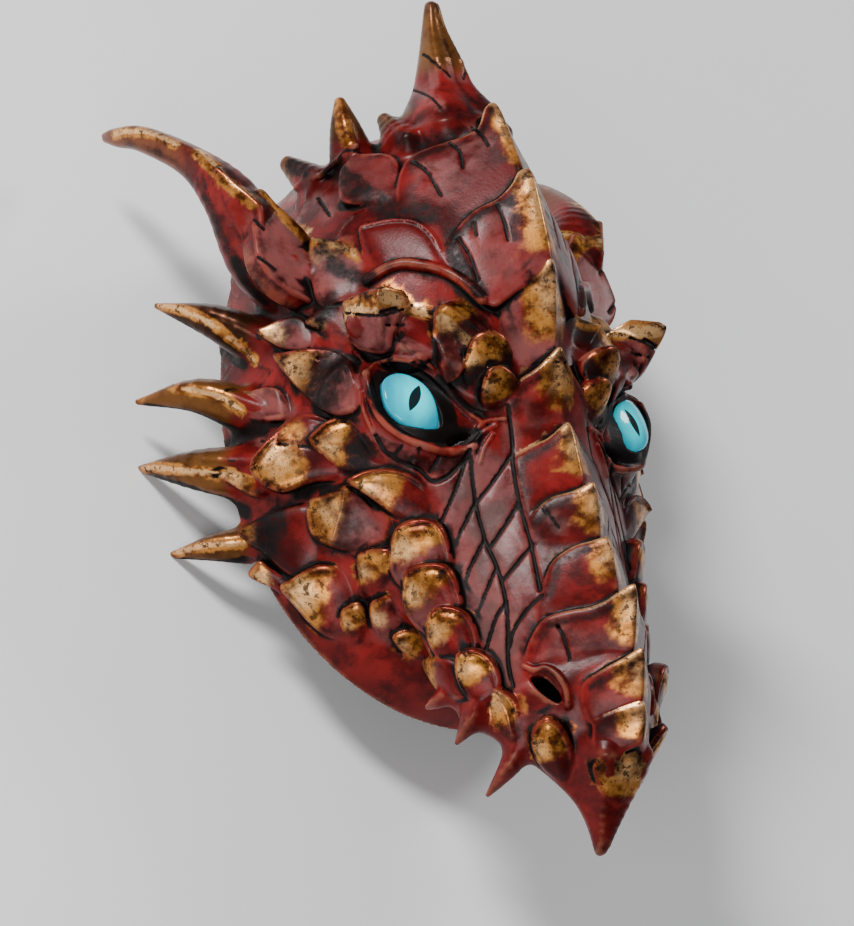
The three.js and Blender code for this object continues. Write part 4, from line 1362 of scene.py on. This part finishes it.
def lens(name, mirrored):
    """A domed lens that fills its opening."""
    spots = on_plane(LENS_OUTLINE + [PUPIL["middle"], PUPIL["top"]], LENS_MIDDLE, EYE_FACING)
    pupil, pupil_top = spots[-2], spots[-1]
    edge = smooth_line(spots[:-2], closed=True)
    centre = edge.mean(0)
    count = len(edge)
    rings = [centre + (edge - centre) * (i + 1) / LENS_RINGS for i in range(LENS_RINGS)]
    flat = np.concatenate([centre[None]] + rings)
    shrink = 1 - EDGE_GAP / np.linalg.norm(edge - centre, axis=1).mean()
    flat = centre + (flat - centre) * shrink
    reach = np.linalg.norm(flat - centre, axis=1)
    rise = np.sqrt(LENS_RADIUS ** 2 - reach ** 2) - LENS_RADIUS + LENS_PROUD
    top = flat + rise[:, None] * EYE_FACING
    places = np.concatenate((top, top - LENS_THICKNESS * EYE_FACING))
    front, wall = [], []
    for i in range(count):
        j = (i + 1) % count
        front.append((0, 1 + i, 1 + j))
        for start in range(1, 1 + (LENS_RINGS - 1) * count, count):
            front += strip(start + i, start + j, count)
        last = len(top) - count
        wall += strip(last + i, last + j, len(top))
    front = np.array(front)
    faces = np.concatenate((front, front[:, ::-1] + len(top), np.array(wall)))
    if mirrored:
        piece = mesh_from(name, places * (-1, 1, 1), faces[:, ::-1])
    else:
        piece = mesh_from(name, places, faces)
    long_way = unit(pupil_top - pupil)
    wide_way = np.cross(long_way, EYE_FACING)
    half_length = np.linalg.norm(pupil_top - pupil)
    values = {
        "along": (places - pupil) @ long_way / half_length,
        "across": (places - pupil) @ wide_way / PUPIL["half_width"],
        "milky_glow": 1 - np.linalg.norm(places - pupil, axis=1) / MILKY_GLOW_REACH,
    }
    for key, share in values.items():
        write_tone(piece, key, share)
    piece.data.shade_smooth()
    return piece


def place_camera():
    data = bpy.data.cameras.new("camera")
    camera = bpy.data.objects.new("camera", data)
    bpy.context.scene.collection.objects.link(camera)
    turn = Matrix((VIEW_RIGHT, VIEW_UP, TO_VIEWER)).transposed().to_4x4()
    turn.translation = in_metres(VIEWER)
    camera.matrix_world = turn
    data.sensor_fit = "VERTICAL"
    data.sensor_height = SENSOR_HEIGHT
    data.lens = SENSOR_HEIGHT * VIEW_DISTANCE * PIXELS_PER_MM / PICTURE_HEIGHT
    bpy.context.scene.camera = camera


LIT_PLACE = (0, 0, 0.08)


def soft_light(name, place, size, power):
    """A round lamp, in metres and watts, that points at the middle of the mask."""
    data = bpy.data.lights.new(name, "AREA")
    data.shape = "DISK"
    data.size = size
    data.energy = power
    lamp = bpy.data.objects.new(name, data)
    bpy.context.scene.collection.objects.link(lamp)
    lamp.location = place
    way = Vector(LIT_PLACE) - Vector(place)
    lamp.rotation_mode = "QUATERNION"
    lamp.rotation_quaternion = way.to_track_quat("-Z", "Y")


def studio():
    bpy.ops.mesh.primitive_plane_add(size=12, location=(0, 0, 0))
    floor = bpy.context.object
    floor.name = "floor"
    p = Paint("floor")
    colour = p.mix(p.noise(40, 2), FLOOR_GREY, FLOOR_PALE)
    floor.data.materials.append(p.set(Base_Color=colour, Roughness=0.7))
    world = bpy.data.worlds.new("studio")
    world.use_nodes = True
    sky = world.node_tree.nodes["Background"].inputs
    sky["Color"].default_value = DAYLIGHT
    sky["Strength"].default_value = 0.16
    bpy.context.scene.world = world
    soft_light("key", (-1.06, 0.75, 1.14), 0.45, 34)
    soft_light("fill", (-1.2, -0.9, 0.9), 0.7, 15)
    soft_light("side", (1.1, 0.6, 1.0), 0.4, 8)


place_camera()
studio()
skin = sculpt()
skin.data.materials.clear()
skin.data.materials.append(painted_latex())
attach(skin, "root")
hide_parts("mask_shell")
plastic = lens_plastic()
for side in ("right", "left"):
    glow = lens("lens_" + side, mirrored=side == "left")
    glow.data.materials.append(plastic)
    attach(glow, "root")
    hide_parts("eye_lens_" + side)
